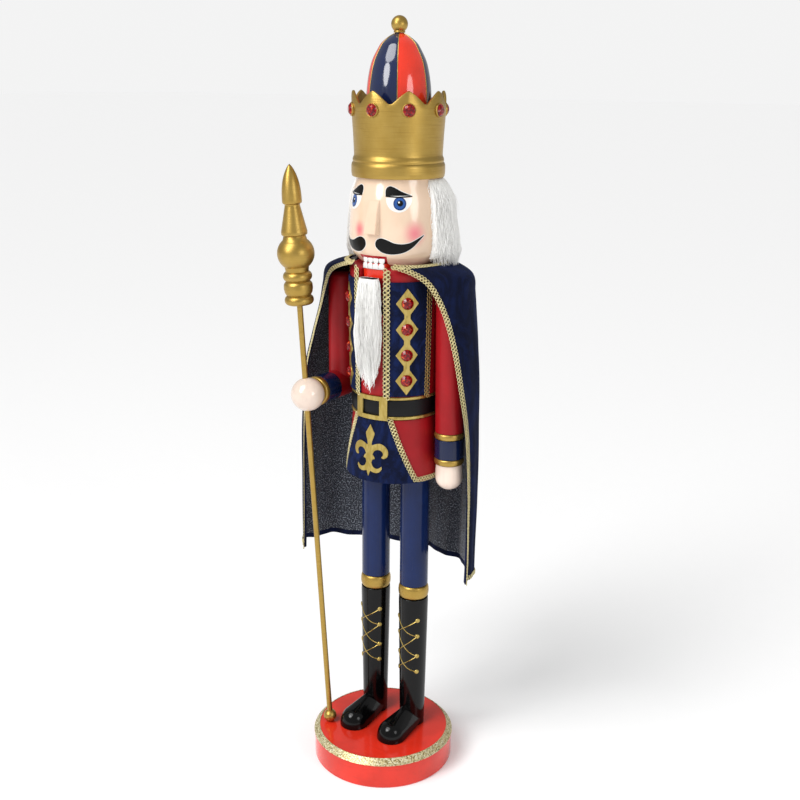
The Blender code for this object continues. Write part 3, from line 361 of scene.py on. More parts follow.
class Look:
    """One material: a Principled shader and whatever feeds it."""

    def __init__(self, name, **steady):
        self.made = bpy.data.materials.new(name)
        self.made.use_nodes = True
        self.tree = self.made.node_tree
        self.tree.nodes.clear()
        self.shader = self.tree.nodes.new("ShaderNodeBsdfPrincipled")
        output = self.tree.nodes.new("ShaderNodeOutputMaterial")
        self.tree.links.new(self.shader.outputs[0], output.inputs[0])
        self.set(self.shader, {name.replace("_", " "): value for name, value in steady.items()})

    def set(self, node, sockets):
        """Gives a node's sockets numbers, or links to earlier values."""
        for name, value in dict(enumerate(sockets) if isinstance(sockets, list) else sockets).items():
            socket = node.inputs[name]
            if isinstance(value, Value):
                self.tree.links.new(value.socket, socket)
            elif socket.type == "RGBA" and len(value) == 3:
                socket.default_value = (*value, 1)
            else:
                socket.default_value = value

    def node(self, kind, settings=None, sockets=(), out=0):
        """Adds a node, its settings first, and returns one of its outputs."""
        made = self.tree.nodes.new(kind)
        for name, value in (settings or {}).items():
            setattr(made, name, value)
        self.set(made, list(sockets) if isinstance(sockets, tuple) else sockets)
        return Value(self, made, made.outputs[out])

    def wears(self, **varying):
        """Feeds what varies over the surface to the shader, and returns the material."""
        self.set(self.shader, {name.replace("_", " "): value for name, value in varying.items()})
        return self.made

    def here(self, scale=(1, 1, 1), shift=(0, 0, 0)):
        """The place on the piece, in metres, stretched by scale."""
        place = self.node("ShaderNodeTexCoord", out="Object")
        return self.node("ShaderNodeMapping", {}, {"Vector": place, "Scale": scale, "Location": shift})

    def noise(self, place, scale, detail=3.0, rough=0.55, twist=0.0):
        wanted = {"Vector": place, "Scale": scale, "Detail": detail, "Roughness": rough, "Distortion": twist}
        return self.node("ShaderNodeTexNoise", {}, wanted)

    def cells(self, place, scale, feature="F1", out="Distance"):
        return self.node("ShaderNodeTexVoronoi", {"feature": feature}, {"Vector": place, "Scale": scale}, out)

    def mix(self, share, a, b):
        """The colour a, turning to b as share goes from 0 to 1."""
        return self.node("ShaderNodeMix", {"data_type": "RGBA"}, {0: share, 6: a, 7: b}, 2)

    def relief(self, height, depth, strength=1.0):
        """A surface that stands out by depth metres where height is 1."""
        return self.node("ShaderNodeBump", {}, {"Height": height, "Distance": depth, "Strength": strength})


def shade(colour, share):
    """The colour made lighter or darker."""
    return tuple(min(1.0, c * share) for c in colour)


# %% [markdown]
# ## Paint
# The wood is sealed and painted in enamel, so it is smooth, but long faint grain still telegraphs through, and the
# gloss breaks up where the brush laid the paint thinner. Two noises do that: a broad one shifts the colour, and one
# stretched along the grain feeds the roughness and the bump.

# %% Painted wood


def paint(
    name, colour, rough=0.16, coat=0.5, grain=(260, 260, 12), depth=0.00006, drift=0.10, coat_rough=0.05, shine=0.4,
    below=None
):
    """Enamel on turned wood. Under the height below[0] the colour turns to below[1]."""
    look = Look(name, Coat_Weight=coat, Coat_Roughness=coat_rough, Specular_IOR_Level=shine)
    broad = look.noise(look.here(), 22, 3)
    fibre = look.noise(look.here(grain), 1.0, 5, 0.6, 0.4)
    orange_peel = look.noise(look.here(), 900, 2)
    tone = look.mix(broad.step(0.35, 0.65), shade(colour, 1 - drift), shade(colour, 1 + drift))
    tone = look.mix(fibre.step(0.52, 0.72) * 0.25, tone, shade(colour, 0.72))
    if below:
        up = look.node("ShaderNodeSeparateXYZ", {}, [look.here()], "Z")
        tone = look.mix(up.step(below[0] - 0.0006, below[0] + 0.0006), below[1], tone)
    relief = look.relief(fibre * 0.8 + orange_peel * 0.25, depth)
    return look.wears(Base_Color=tone, Roughness=rough + 0.12 * fibre.step(0.4, 0.7), Normal=relief)


RED = paint("base_red", (0.70, 0.028, 0.012), 0.13, 0.3, (14, 260, 260), shine=0.35)
CRIMSON = paint("coat_crimson", (0.33, 0.0055, 0.0095), 0.38, 0.04, coat_rough=0.3, shine=0.25)
NAVY = paint("trouser_navy", (0.0055, 0.0170, 0.082), 0.17, 0.14, shine=0.2)
CUFF_NAVY = paint("cuff_navy", (0.0042, 0.0110, 0.052), 0.18, 0.25, shine=0.28)
BLACK = paint("boot_black", (0.0018, 0.0018, 0.0020), 0.10, 0.10, shine=0.2)
BELT_BLACK = paint("belt_black", (0.0025, 0.0028, 0.0035), 0.42, 0.0, (900, 900, 900), shine=0.25)
HAND = paint("hand_flesh", (0.80, 0.65, 0.55), 0.16, 0.7)
# Below the beard's top the jaw lever turns dark red: painted shade where the lever sits down in the torso's slot.
JAW_RED = paint("jaw_red", (0.80, 0.030, 0.008), 0.22, 0.5, below=(high("beard") - 0.0004, (0.22, 0.003, 0.006)))
LIP_RED = paint("lip_red", (0.42, 0.006, 0.012), 0.25, 0.5)
WHITE = paint("tooth_white", (0.82, 0.82, 0.80), 0.15, 0.7, drift=0.03)
INK = paint("ink_black", (0.0016, 0.0016, 0.0018), 0.38, 0.0, shine=0.22)
IRIS = paint("iris_blue", (0.022, 0.085, 0.30), 0.2, 0.3, drift=0.2)
IRIS_RIM = paint("iris_rim", (0.010, 0.034, 0.15), 0.2, 0.3)
CAP_NAVY = paint("cap_navy", (0.0045, 0.0125, 0.060), 0.09, 0.9)
CAP_RED = paint("cap_orange_red", (0.80, 0.035, 0.012), 0.10, 0.9)
print(len(bpy.data.materials), "paints")

# %% [markdown]
# ## Gold
# Three golds are on the figure. The crown, rings and sceptre wear a satin gold paint that was brushed on while the
# piece turned, so its streaks run round the axis. The buckle, lily and diamonds are thin foil with a wiped, cloudy
# shine. The braid is pale metal thread. All are metallic shaders, told apart by the direction of their streaks.

# %% Gold finishes


def satin_gold(name, streak=(26, 26, 1100)):
    """Gold paint with fine streaks along the brush."""
    look = Look(name, Coat_Weight=0.12, Coat_Roughness=0.25)
    lines = look.noise(look.here(streak), 1.0, 6, 0.62)
    cloud = look.noise(look.here(), 60, 4)
    tone = look.mix(cloud.step(0.2, 0.8) * 0.5, (0.43, 0.275, 0.058), (0.53, 0.365, 0.10))
    tone = look.mix(lines.step(0.50, 0.74) * 0.5, tone, (0.30, 0.175, 0.034))
    rough = 0.30 + 0.18 * lines
    return look.wears(Base_Color=tone, Metallic=0.9, Roughness=rough, Normal=look.relief(lines, 0.00012))


def foil_gold(name):
    """Thin gold foil, wiped and a little worn."""
    look = Look(name)
    wipe = look.noise(look.here((160, 160, 45), (0, 0, 3)), 1.0, 5, 0.6, 1.2)
    scratch = look.noise(look.here((1400, 1400, 90)), 1.0, 3)
    tone = look.mix(wipe.step(0.35, 0.65), (0.42, 0.30, 0.070), (0.56, 0.43, 0.14))
    rough = 0.30 + 0.22 * wipe.step(0.3, 0.7)
    relief = look.relief(wipe + scratch * 0.3, 0.00010)
    return look.wears(Base_Color=tone, Metallic=0.85, Roughness=rough, Normal=relief)


def metal_thread(name, light, dark):
    """Pale gold thread: fine wraps across a soft core."""
    look = Look(name)
    wraps = look.noise(look.here((2600, 2600, 2600)), 1.0, 2)
    patch = look.noise(look.here(), 180, 3)
    tone = look.mix(wraps.step(0.38, 0.62), dark, light)
    tone = look.mix(patch.step(0.45, 0.75) * 0.35, tone, shade(dark, 0.8))
    return look.wears(Base_Color=tone, Metallic=0.55, Roughness=0.34 + 0.2 * wraps, Normal=look.relief(wraps, 0.0002))


GOLD = satin_gold("satin_gold")
GOLD_SIDEWAYS = satin_gold("satin_gold_arm", (26, 1100, 26))
FOIL = foil_gold("foil_gold")
BRAID = metal_thread("braid_thread", (0.86, 0.80, 0.50), (0.45, 0.36, 0.13))
BRAID_CORE = metal_thread("braid_core", (0.22, 0.16, 0.05), (0.08, 0.055, 0.015))
print("golds ready")

# %% [markdown]
# ## Velvet, lining and fur
# Velvet is dark when you look straight into the pile and pale at grazing angles: that is what the sheen lobe is for.
# Crushing tips the pile over in patches, so a twisted noise moves colour and bump together. The cape's lining is a
# plain dark weave flecked with white, so it is drawn on the cloth's own UV map, where the threads run.

# %% Cloth finishes


def velvet(name, deep, pale, crush=38, sheen=0.13):
    """Crushed velvet pile."""
    look = Look(
        name, Roughness=0.9, Specular_IOR_Level=0.15, Sheen_Weight=sheen, Sheen_Roughness=0.30,
        Sheen_Tint=(0.10, 0.18, 0.62, 1)
    )
    place = look.here((1, 1, 0.55))
    crushed = look.noise(place, crush, 5, 0.62, 1.6)
    pile = look.noise(look.here(), 2200, 2)
    tone = look.mix(crushed.step(0.38, 0.68), deep, pale)
    tone = look.mix(pile.step(0.45, 0.7) * 0.35, tone, shade(pale, 1.4))
    relief = look.relief(crushed + pile * 0.14, 0.0011, 0.7)
    return look.wears(Base_Color=tone, Normal=relief)


def lining(name):
    """Charcoal weave flecked with white."""
    look = Look(name, Sheen_Weight=0.25, Sheen_Roughness=0.5)
    threads = look.node("ShaderNodeUVMap", {"uv_map": "cloth"})
    warp = look.node(
        "ShaderNodeTexWave", {"bands_direction": "X"}, {"Vector": threads, "Scale": 260, "Distortion": 0.6}
    )
    weft = look.node(
        "ShaderNodeTexWave", {"bands_direction": "Y"}, {"Vector": threads, "Scale": 260, "Distortion": 0.6}
    )
    fleck = look.noise(threads, 560, 2, 0.7)
    cloud = look.noise(threads, 60, 3)
    weave = warp * 0.5 + weft * 0.5
    tone = look.mix(weave.step(0.2, 0.8), (0.006, 0.009, 0.017), (0.018, 0.024, 0.040))
    tone = look.mix(fleck.step(0.52, 0.62) * (0.35 + cloud * 0.6), tone, (0.40, 0.44, 0.52))
    return look.wears(Base_Color=tone, Roughness=0.8 + 0.15 * weave, Normal=look.relief(weave + fleck * 0.4, 0.0003))


def fur(name, light=(0.96, 0.955, 0.94), dark=(0.88, 0.875, 0.85)):
    """White synthetic fur."""
    look = Look(name, Sheen_Weight=0.35, Sheen_Roughness=0.4)
    strand = look.noise(look.here((900, 900, 40)), 1.0, 4)
    tuft = look.noise(look.here((120, 120, 18)), 1.0, 3)
    tone = look.mix(strand.step(0.35, 0.7), light, dark)
    tone = look.mix(tuft.step(0.5, 0.75) * 0.4, tone, shade(dark, 0.85))
    return look.wears(Base_Color=tone, Roughness=0.6 + 0.3 * strand, Normal=look.relief(strand, 0.0002))


CAPE_VELVET = velvet("cape_velvet", (0.0016, 0.0032, 0.014), (0.0036, 0.0088, 0.044))
VEST_VELVET = velvet("vest_velvet", (0.0018, 0.0036, 0.016), (0.0055, 0.0135, 0.066), 60)
LINING = lining("cape_lining")
FUR = fur("white_fur")
print("cloth and fur ready")

# %% [markdown]
# ## Stones, glitter, skin and the hidden bits
# The stones are foil-backed acrylic: deep red, painted lighter at the middle of small cells and darker at their rims,
# with orange patches painted in. Both are painted light, standing in for light off the facets and glints off the foil.
# The glitter's gold changes from flake to flake, partly its own colour and partly painted light, with the brightest
# flakes painted near white as painted sparkle; it comes from a cell pattern a flake wide. The head is painted in one
# flesh colour with two sprayed blushes, which are soft masks measured along the face from each cheek's centre.

# %% Stones, glitter and skin


def stone():
    look = Look("red_stone", Coat_Weight=0.15, Coat_Roughness=0.02, IOR=1.5, Specular_IOR_Level=0.38)
    # Painted light: the red is lighter at each cell's middle and darker at its rim, for light and shade on the facets,
    # and the orange patches are painted glints off the foil.
    facet_glint_cells = look.cells(look.here(), 420, out="Color")
    deep = look.noise(look.here(), 300, 2)
    tone = look.mix(facet_glint_cells["Distance"].step(0.1, 0.8), (0.36, 0.004, 0.006), (0.10, 0.0010, 0.003))
    tone = look.mix(deep.step(0.60, 0.67) * 0.8, tone, (0.85, 0.11, 0.015))
    return look.wears(Base_Color=tone, Metallic=0.0, Roughness=0.05 + 0.06 * deep)


def glitter():
    look = Look("gold_glitter")
    flake = look.cells(look.here(), 900, out="Color")
    shine = look.node("ShaderNodeSeparateColor", {}, [flake], "Red")
    # Each flake's gold runs from dark to pale, partly its own colour and partly painted light, and the brightest
    # flakes are painted near white: painted sparkle.
    tone = look.mix(shine.step(0.1, 0.6), (0.30, 0.22, 0.07), (0.66, 0.58, 0.32))
    tone = look.mix(shine.step(0.72, 0.8), tone, (0.78, 0.75, 0.56))
    return look.wears(Base_Color=tone, Metallic=0.6, Roughness=0.22 + 0.3 * shine)


BLUSHES = ((53, SHOULDER + 0.0405, 0.0175), (-17, SHOULDER + 0.0425, 0.0125))


def flesh():
    look = Look("head_flesh", Coat_Weight=0.7, Coat_Roughness=0.06)
    place = look.here((1, 1, 1), (-AXIS.x, -AXIS.y, 0))
    parts = look.node("ShaderNodeSeparateXYZ", {}, [place], "X")
    x, y, z = parts, parts["Y"], parts["Z"]
    angle = look.node("ShaderNodeMath", {"operation": "ARCTAN2"}, [x, 0 - y])
    broad = look.noise(look.here(), 30, 3)
    grain = look.noise(look.here((240, 240, 14)), 1.0, 4)
    blush = 0
    for at, tall, wide in BLUSHES:
        across, up = (angle - radians(at)) * 0.056, z - tall
        gap = (across * across + up * up * 0.8).math("SQRT")
        blush = blush + (1 - gap.step(0.0, wide)) * 0.85
    tone = look.mix(broad.step(0.3, 0.7), (0.78, 0.575, 0.415), (0.83, 0.625, 0.465))
    tone = look.mix(blush, tone, (0.80, 0.15, 0.21))
    rough = 0.13 + 0.12 * grain
    return look.wears(Base_Color=tone, Roughness=rough, Normal=look.relief(grain, 0.00005))


def bare(name, colour, metallic, rough, stretch):
    """Unpainted wood or metal of the parts inside the joints."""
    look = Look(name)
    grain = look.noise(look.here(stretch), 1.0, 5)
    tone = look.mix(grain.step(0.3, 0.7), shade(colour, 0.75), shade(colour, 1.1))
    rough = rough + 0.15 * grain
    return look.wears(Base_Color=tone, Metallic=metallic, Roughness=rough, Normal=look.relief(grain, 0.0001))


STONE, GLITTER, FLESH = stone(), glitter(), flesh()
DOWEL = bare("dowel_wood", (0.60, 0.40, 0.22), 0.0, 0.55, (60, 600, 600))
STEEL = bare("steel", (0.50, 0.50, 0.51), 1.0, 0.3, (200, 900, 900))
for node in ("shoulder_dowel_left", "shoulder_dowel_right", "head_dowel_left", "head_dowel_right"):
    frame["nodes"][node].material_slots[0].material = DOWEL
for node in ("leg_screw_left", "leg_screw_right", "lever_pin"):
    frame["nodes"][node].material_slots[0].material = STEEL
print(len(bpy.data.materials), "materials in all")

# %% [markdown]
# ## Geometry Nodes: one thing set again and again along a row
# Braid loops, stones, settings and lace studs are all "the same small piece, again and again, each facing out".
# A single node tree does it. It takes a mesh of bare points that carry two vectors, outward and along, and sets a
# copy of a small shape on each. Inputs have names, and anything random has its own seed.

# %% The row tree


class Tree:
    """A Geometry Nodes tree that is built up node by node."""

    def __init__(self, name, **sockets):
        self.tree = bpy.data.node_groups.new(name, "GeometryNodeTree")
        face = self.tree.interface
        self.ids = {
            "Geometry": face.new_socket("Geometry", in_out="INPUT", socket_type="NodeSocketGeometry").identifier
        }
        for label, (kind, value) in sockets.items():
            made = face.new_socket(label, in_out="INPUT", socket_type="NodeSocket" + kind)
            if value is not None:
                made.default_value = value
            self.ids[label] = made.identifier
        face.new_socket("Geometry", in_out="OUTPUT", socket_type="NodeSocketGeometry")
        self.start = self.tree.nodes.new("NodeGroupInput")
        self.end = self.tree.nodes.new("NodeGroupOutput")

    def add(self, kind, settings=None, **sockets):
        """Adds a node. Sockets are given by name, with _ for a space, or by place as i0, i1."""
        made = self.tree.nodes.new(kind)
        for name, value in (settings or {}).items():
            setattr(made, name, value)
        for name, value in sockets.items():
            place = int(name[1:]) if name[0] == "i" and name[1:].isdigit() else name.replace("_", " ")
            if isinstance(value, bpy.types.NodeSocket):
                self.tree.links.new(value, made.inputs[place])
            else:
                made.inputs[place].default_value = value
        return made

    def asked(self, label):
        return self.start.outputs[label]

    def copies(self, points, label, turn, size):
        """Ends the tree: a copy of the asked shape on each point, made real, in the asked finish."""
        shape = self.add("GeometryNodeObjectInfo", {}, Object=self.asked(label)).outputs["Geometry"]
        put = self.add("GeometryNodeInstanceOnPoints", {}, Points=points, Instance=shape, Rotation=turn, Scale=size)
        real = self.add("GeometryNodeRealizeInstances", {}, Geometry=put.outputs[0])
        dyed = self.add("GeometryNodeSetMaterial", {}, Geometry=real.outputs[0], Material=self.asked("Finish"))
        self.tree.links.new(dyed.outputs[0], self.end.inputs[0])

    def grow(self, mesh, **wanted):
        """Runs the tree on a mesh and returns the plain mesh that comes out."""
        carrier = linked("carrier", mesh)
        step = carrier.modifiers.new("grow", "NODES")
        step.node_group = self.tree
        for label, value in wanted.items():
            step[self.ids[label.replace("_", " ")]] = value
        bpy.context.view_layer.update()
        shown = carrier.evaluated_get(bpy.context.evaluated_depsgraph_get())
        made = bpy.data.meshes.new_from_object(shown)
        bpy.data.objects.remove(carrier)
        return made


def row_tree():
    wanted = {
        "Shape": ("Object", None),
        "Size": ("Float", 1.0),
        "Size variation": ("Float", 0.0),
        "Turn variation": ("Float", 0.0),
        "Seed": ("Int", 1),
        "Finish": ("Material", None),
    }
    t = Tree("set_along_a_row", **wanted)
    vector = {"data_type": "FLOAT_VECTOR"}
    out = t.add("GeometryNodeInputNamedAttribute", vector, Name="outward").outputs[0]
    along = t.add("GeometryNodeInputNamedAttribute", vector, Name="along").outputs[0]
    up = t.add("FunctionNodeAlignRotationToVector", {"axis": "Z"}, Vector=out)
    facing = t.add(
        "FunctionNodeAlignRotationToVector", {"axis": "X", "pivot_axis": "Z"}, Rotation=up.outputs[0], Vector=along
    )
    spin = t.add("FunctionNodeRandomValue", {"data_type": "FLOAT"}, Seed=t.asked("Seed"))
    less = t.add("ShaderNodeMath", {"operation": "MULTIPLY"}, i0=t.asked("Turn variation"), i1=-1.0)
    t.tree.links.new(less.outputs[0], spin.inputs[2])
    t.tree.links.new(t.asked("Turn variation"), spin.inputs[3])
    turn = t.add("ShaderNodeCombineXYZ", {}, Z=spin.outputs[1])
    euler = t.add("FunctionNodeEulerToRotation", {}, Euler=turn.outputs[0])
    both = t.add("FunctionNodeRotateRotation", {"rotation_space": "LOCAL"}, i0=facing.outputs[0], i1=euler.outputs[0])
    grow = t.add("FunctionNodeRandomValue", {"data_type": "FLOAT"}, Seed=t.asked("Seed"))
    small = t.add("ShaderNodeMath", {"operation": "SUBTRACT"}, i0=t.asked("Size"), i1=t.asked("Size variation"))
    large = t.add("ShaderNodeMath", {"operation": "ADD"}, i0=t.asked("Size"), i1=t.asked("Size variation"))
    t.tree.links.new(small.outputs[0], grow.inputs[2])
    t.tree.links.new(large.outputs[0], grow.inputs[3])
    points = t.add("GeometryNodeMeshToPoints", {}, Mesh=t.asked("Geometry"))
    t.copies(points.outputs[0], "Shape", both.outputs[0], grow.outputs[1])
    return t


ROW = row_tree()
print("row tree inputs", list(ROW.ids))

# %% Set a shape along a row


def set_along(spots, shape, finish, seed=1, **wanted):
    """A plain mesh of the shape set on every (place, outward, along) spot."""
    data = bpy.data.meshes.new("spots")
    data.from_pydata([s[0] for s in spots], [], [])
    for name, index in (("outward", 1), ("along", 2)):
        layer = data.attributes.new(name, "FLOAT_VECTOR", "POINT")
        for i, s in enumerate(spots):
            layer.data[i].vector = s[index]
    bmesh.ops.recalc_face_normals(shape, faces=shape.faces)
    pattern = linked("shape", plain("shape", shape))
    made = ROW.grow(data, Shape=pattern, Finish=finish, Seed=seed, **wanted)
    bpy.data.objects.remove(pattern)
    return made


def torus(radius, thread, around=12, sides=5, wide=1.0):
    """A small ring that lies flat, the shape a loop of thread or a stone's setting has."""
    mesh = bmesh.new()
    rows = []
    for i in range(around):
        a = 2 * pi * i / around
        row = []
        for k in range(sides):
            b = 2 * pi * k / sides
            r = radius + thread * cos(b)
            row.append(mesh.verts.new((r * cos(a) * wide, r * sin(a), thread * sin(b))))
        rows.append(row)
    for i in range(around):
        for k in range(sides):
            here, there = rows[i], rows[(i + 1) % around]
            mesh.faces.new((here[k], there[k], there[(k + 1) % sides], here[(k + 1) % sides]))
    return mesh


# %% [markdown]
# ## The base
# A turned disc with a chamfered top edge, sprayed glossy red, and a ribbon of glitter stuck round the chamfer. The
# disc is turned again here with an eased edge. The glitter is a thin band with about twelve thousand flakes on
# it by Geometry Nodes, each tipped its own way, because real glitter sparkles by tilt and not by colour.

# %% Base disc
BASE = centre("base_disc")
BASE_R, BASE_H = half("base_disc"), high("base_disc")
BAND_FOOT = low("glitter_band")
CHAMFER = BASE_H - BAND_FOOT
disc = eased(
    [(BASE_R - 0.0012, 0), (BASE_R, 0.0012), (BASE_R, BAND_FOOT), (BASE_R - CHAMFER, BASE_H), (0.02, BASE_H)], 0.0007
)
turned("base_disc", disc, RED, "red_gloss", 128, start=(BASE.x, BASE.y, 0))

band_out = 0.0009
band = [(BASE_R + 0.0002, BAND_FOOT - 0.0004), (BASE_R + band_out, BAND_FOOT)]
band += [
    (BASE_R - CHAMFER + band_out, BASE_H + 0.0002), (BASE_R - CHAMFER, BASE_H + 0.0002), (BASE_R - 0.001, BAND_FOOT)
]
keep(
    "glitter_ribbon", lathe(band, 160, closed=True, start=(BASE.x, BASE.y, 0)), "figure", GLITTER,
    replaces=["glitter_band"], slot="glitter"
)

# %% Glitter flakes


def scatter_tree():
    wanted = {"Shape": ("Object", None), "Flakes": ("Float", 1e5), "Tilt": ("Float", 0.6), "Seed": ("Int", 3)}
    t = Tree("scatter_flakes", Finish=("Material", None), **wanted)
    dust = t.add(
        "GeometryNodeDistributePointsOnFaces", {}, Mesh=t.asked("Geometry"), Density=t.asked("Flakes"),
        Seed=t.asked("Seed")
    )
    tilt = t.add("FunctionNodeRandomValue", {"data_type": "FLOAT_VECTOR"}, Seed=t.asked("Seed"))
    tilt.inputs[0].default_value, tilt.inputs[1].default_value = (-1, -1, -1), (1, 1, 1)
    swing = t.add("ShaderNodeVectorMath", {"operation": "SCALE"}, i0=tilt.outputs[0], Scale=t.asked("Tilt"))
    aim = t.add("ShaderNodeVectorMath", {"operation": "ADD"}, i0=dust.outputs["Normal"], i1=swing.outputs[0])
    face = t.add("FunctionNodeAlignRotationToVector", {"axis": "Z"}, Vector=aim.outputs[0])
    size = t.add("FunctionNodeRandomValue", {"data_type": "FLOAT"}, Seed=t.asked("Seed"))
    size.inputs[2].default_value, size.inputs[3].default_value = 0.6, 1.25
    t.copies(dust.outputs["Points"], "Shape", face.outputs[0], size.outputs[1])
    return t


SCATTER = scatter_tree()
flake = bmesh.new()
bmesh.ops.create_cone(flake, cap_ends=True, segments=5, radius1=0.00046, radius2=0.00036, depth=0.00010)
flake_object = linked("flake", plain("flake", flake))
cone = lathe(
    [(BASE_R + band_out, BAND_FOOT), (BASE_R - CHAMFER + band_out, BASE_H + 0.0002)], 96, start=(BASE.x, BASE.y, 0)
)
middle = [v for v in cone.verts if (v.co - BASE).xy.length < 0.001]
bmesh.ops.delete(cone, geom=middle, context="VERTS")
flakes = SCATTER.grow(plain("slope", cone), Shape=flake_object, Flakes=2.3e6, Tilt=0.45, Seed=5, Finish=GLITTER)
bpy.data.objects.remove(flake_object)
settle("glitter_flakes", flakes, "figure", angle=20)

# %% [markdown]
# ## Legs and boots
# Each leg is a stack: a boot turned with a slight taper, a fat gold ring, and a straight trouser leg. The toe is a
# ball drawn back to the shaft with a flat plane cut on each side of a ridge; it is made as a hull of a few
# hundred points whose sharper edges are bevelled, so the planes stay flat and their edges stay crisp but not sharp.

# %% Boots and trousers


def turned_node(node, profile, look, slot, segments=72, ease=0.0008):
    """Replaces an upright round node. The profile is (share of radius, share of height)."""
    at, r, foot, tall = centre(node), half(node), low(node), high(node) - low(node)
    points = eased([(r * s, foot + tall * t) for s, t in profile], ease)
    turned(node, points, look, slot, segments, start=(at.x, at.y, 0))


for side in ("left", "right"):
    turned_node(f"boot_shaft_{side}", [(0.845, 0), (1, 0.97), (0.98, 1), (0.5, 1)], BLACK, "black_gloss")
    bulge = [
        (0.6, 0), (0.87, 0), (0.94, 0.09), (0.985, 0.26), (1.0, 0.5), (0.985, 0.74), (0.94, 0.91), (0.87, 1), (0.6, 1)
    ]
    turned_node(f"boot_ring_{side}", bulge, GOLD, "gold_paint", ease=0.0015)
    at = centre(f"trouser_leg_{side}")
    r, foot, top = half(f"trouser_leg_{side}"), high(f"boot_ring_{side}"), high(f"trouser_leg_{side}")
    leg = eased([(r * 0.6, foot + 0.0002), (r * 0.96, foot + 0.0002), (r, foot + 0.0012), (r, top)], 0.0006)
    turned(f"trouser_leg_{side}", leg, NAVY, "navy_gloss", start=(at.x, at.y, 0))

# %% Toes


def toe(side):
    """A ball with a ridge back to the shaft and a flat cheek on each side."""
    node = f"boot_toe_{side}"
    x, seat = centre(node).x, low(node)
    r = half(node)
    front = low(node, 1) + r
    ankle = centre(f"boot_shaft_{side}")
    shaft = half(f"boot_shaft_{side}") * 0.845
    tall = high(node) - seat
    mesh = bmesh.new()
    for i in range(48):
        turn = 2 * pi * i / 48
        for k in range(12):
            lift = pi / 2 * k / 12
            wide, tall_here = r * cos(lift) ** 0.82, r * 1.24 * sin(lift) ** 0.92
            mesh.verts.new((x + wide * cos(turn), front + wide * sin(turn), seat + tall_here))
    for s in (-0.10, 0.10):
        mesh.verts.new((x + s * r, ankle.y - shaft - 0.001, seat + tall))
        mesh.verts.new((x + s * r, ankle.y, seat + tall * 0.98))
    for s in (-1, 1):
        mesh.verts.new((x + s * shaft * 0.85, ankle.y, seat))
        mesh.verts.new((x + s * shaft * 0.97, ankle.y, seat + tall * 0.30))
    hull = bmesh.ops.convex_hull(mesh, input=mesh.verts)
    spare = {v for v in hull["geom_interior"] + hull["geom_unused"] if isinstance(v, bmesh.types.BMVert)}
    bmesh.ops.delete(mesh, geom=list(spare), context="VERTS")
    bmesh.ops.dissolve_limit(mesh, angle_limit=radians(1.5), verts=mesh.verts, edges=mesh.edges)
    crease = [e for e in mesh.edges if len(e.link_faces) == 2 and e.calc_face_angle(0) > radians(14)]
    bmesh.ops.bevel(mesh, geom=crease, offset=0.0007, segments=3, affect="EDGES", clamp_overlap=True)
    keep(f"{node}_carved", mesh, "figure", BLACK, replaces=[node], slot="black_gloss", angle=24)


toe("left")
toe("right")

# %% [markdown]
# ## Boot laces
# Four gold studs run down each side of a boot's front, and fine gold lines cross between them. They are painted on,
# so each line is a hair-thin tube that follows the tapered shaft, and the studs are set with the row tree.

# %% Laces


def tube(mesh, line, radius, sides=6):
    """Adds a closed tube along a line of points."""
    line = [Vector(p) for p in line]
    rows = []
    side = None
    for i, p in enumerate(line):
        ahead = (line[min(i + 1, len(line) - 1)] - line[max(i - 1, 0)]).normalized()
        side = (side or Vector((0.31, 0.17, 0.93))).cross(ahead).cross(ahead).normalized() * -1
        other = ahead.cross(side)
        row = [p + radius * (side * cos(2 * pi * k / sides) + other * sin(2 * pi * k / sides)) for k in range(sides)]
        rows.append([mesh.verts.new(q) for q in row])
    return bridge(mesh, rows)


LACE_HEIGHTS = [0.1910, 0.1689, 0.1408, 0.1184]
for side in ("left", "right"):
    node = f"boot_shaft_{side}"
    at, foot, top, wide = centre(node), low(node), high(node), half(node)

    def on_boot(angle, z, lift=0.0):
        r = wide * (0.845 + 0.155 * (z - foot) / (top - foot)) + lift
        return Vector((at.x + r * sin(radians(angle)), at.y - r * cos(radians(angle)), z))

    lines = bmesh.new()
    for above, below in zip(LACE_HEIGHTS, LACE_HEIGHTS[1:]):
        for turn in (-1, 1):
            path = []
            for i in range(15):
                t = i / 14
                sag = 0.0045 * sin(pi * t) * (-0.15 if turn > 0 else 1)
                path.append(on_boot(turn * (50 - 100 * t), above + (below - above) * t - sag, 0.00012))
            tube(lines, path, 0.00058)
    keep(f"laces_{side}", lines, "figure", FOIL, slot="gold_paint")
    studs = []
    for angle in (-50, 50):
        for z in LACE_HEIGHTS:
            face = (on_boot(angle, z, 0.01) - on_boot(angle, z)).normalized()
            studs.append((on_boot(angle, z, 0.0002), face, Vector((0, 0, 1))))
    button = lathe([(0.0029, -0.0010), (0.0029, 0.0001), (0.0024, 0.0007), (0.0012, 0.0010)], 20)
    settle(f"lace_studs_{side}", set_along(studs, button, FOIL), "figure")

# %% [markdown]
# ## Coat: skirt, belt and torso
# The coat is the turned body itself, painted satin crimson. The skirt flares, the torso swells a little to the
# chest, and the belt sits between them with a gold line along each edge. The torso keeps the slot that the jaw
# lever moves in, so it is turned first and then cut.

# %% Coat
turned_node("coat_skirt", [(0.3, 0), (0.955, 0), (1, 0.022), (0.8973, 1), (0.5, 1)], CRIMSON, "crimson_satin", 128)
turned_node("belt", [(0.9, 0), (0.992, 0), (1, 0.5), (0.992, 1), (0.9, 1)], BELT_BLACK, "black_gloss", 128)
for edge in ("belt_trim_lower", "belt_trim_upper"):
    turned_node(edge, [(0.9, 0), (0.985, 0), (1, 0.5), (0.985, 1), (0.9, 1)], FOIL, "gold_paint", 128, 0.0012)

BELT_R, BELT_TOP, WAIST = half("belt_trim_upper"), high("belt_trim_upper"), low("belt_trim_lower")


def chest_radius(z):
    """The torso's radius at a height."""
    waist = CHEST * 0.964
    share = min(1.0, max(0.0, (z - BELT_TOP) / (SHOULDER - WAIST) / 0.6))
    return waist + (CHEST - waist) * share


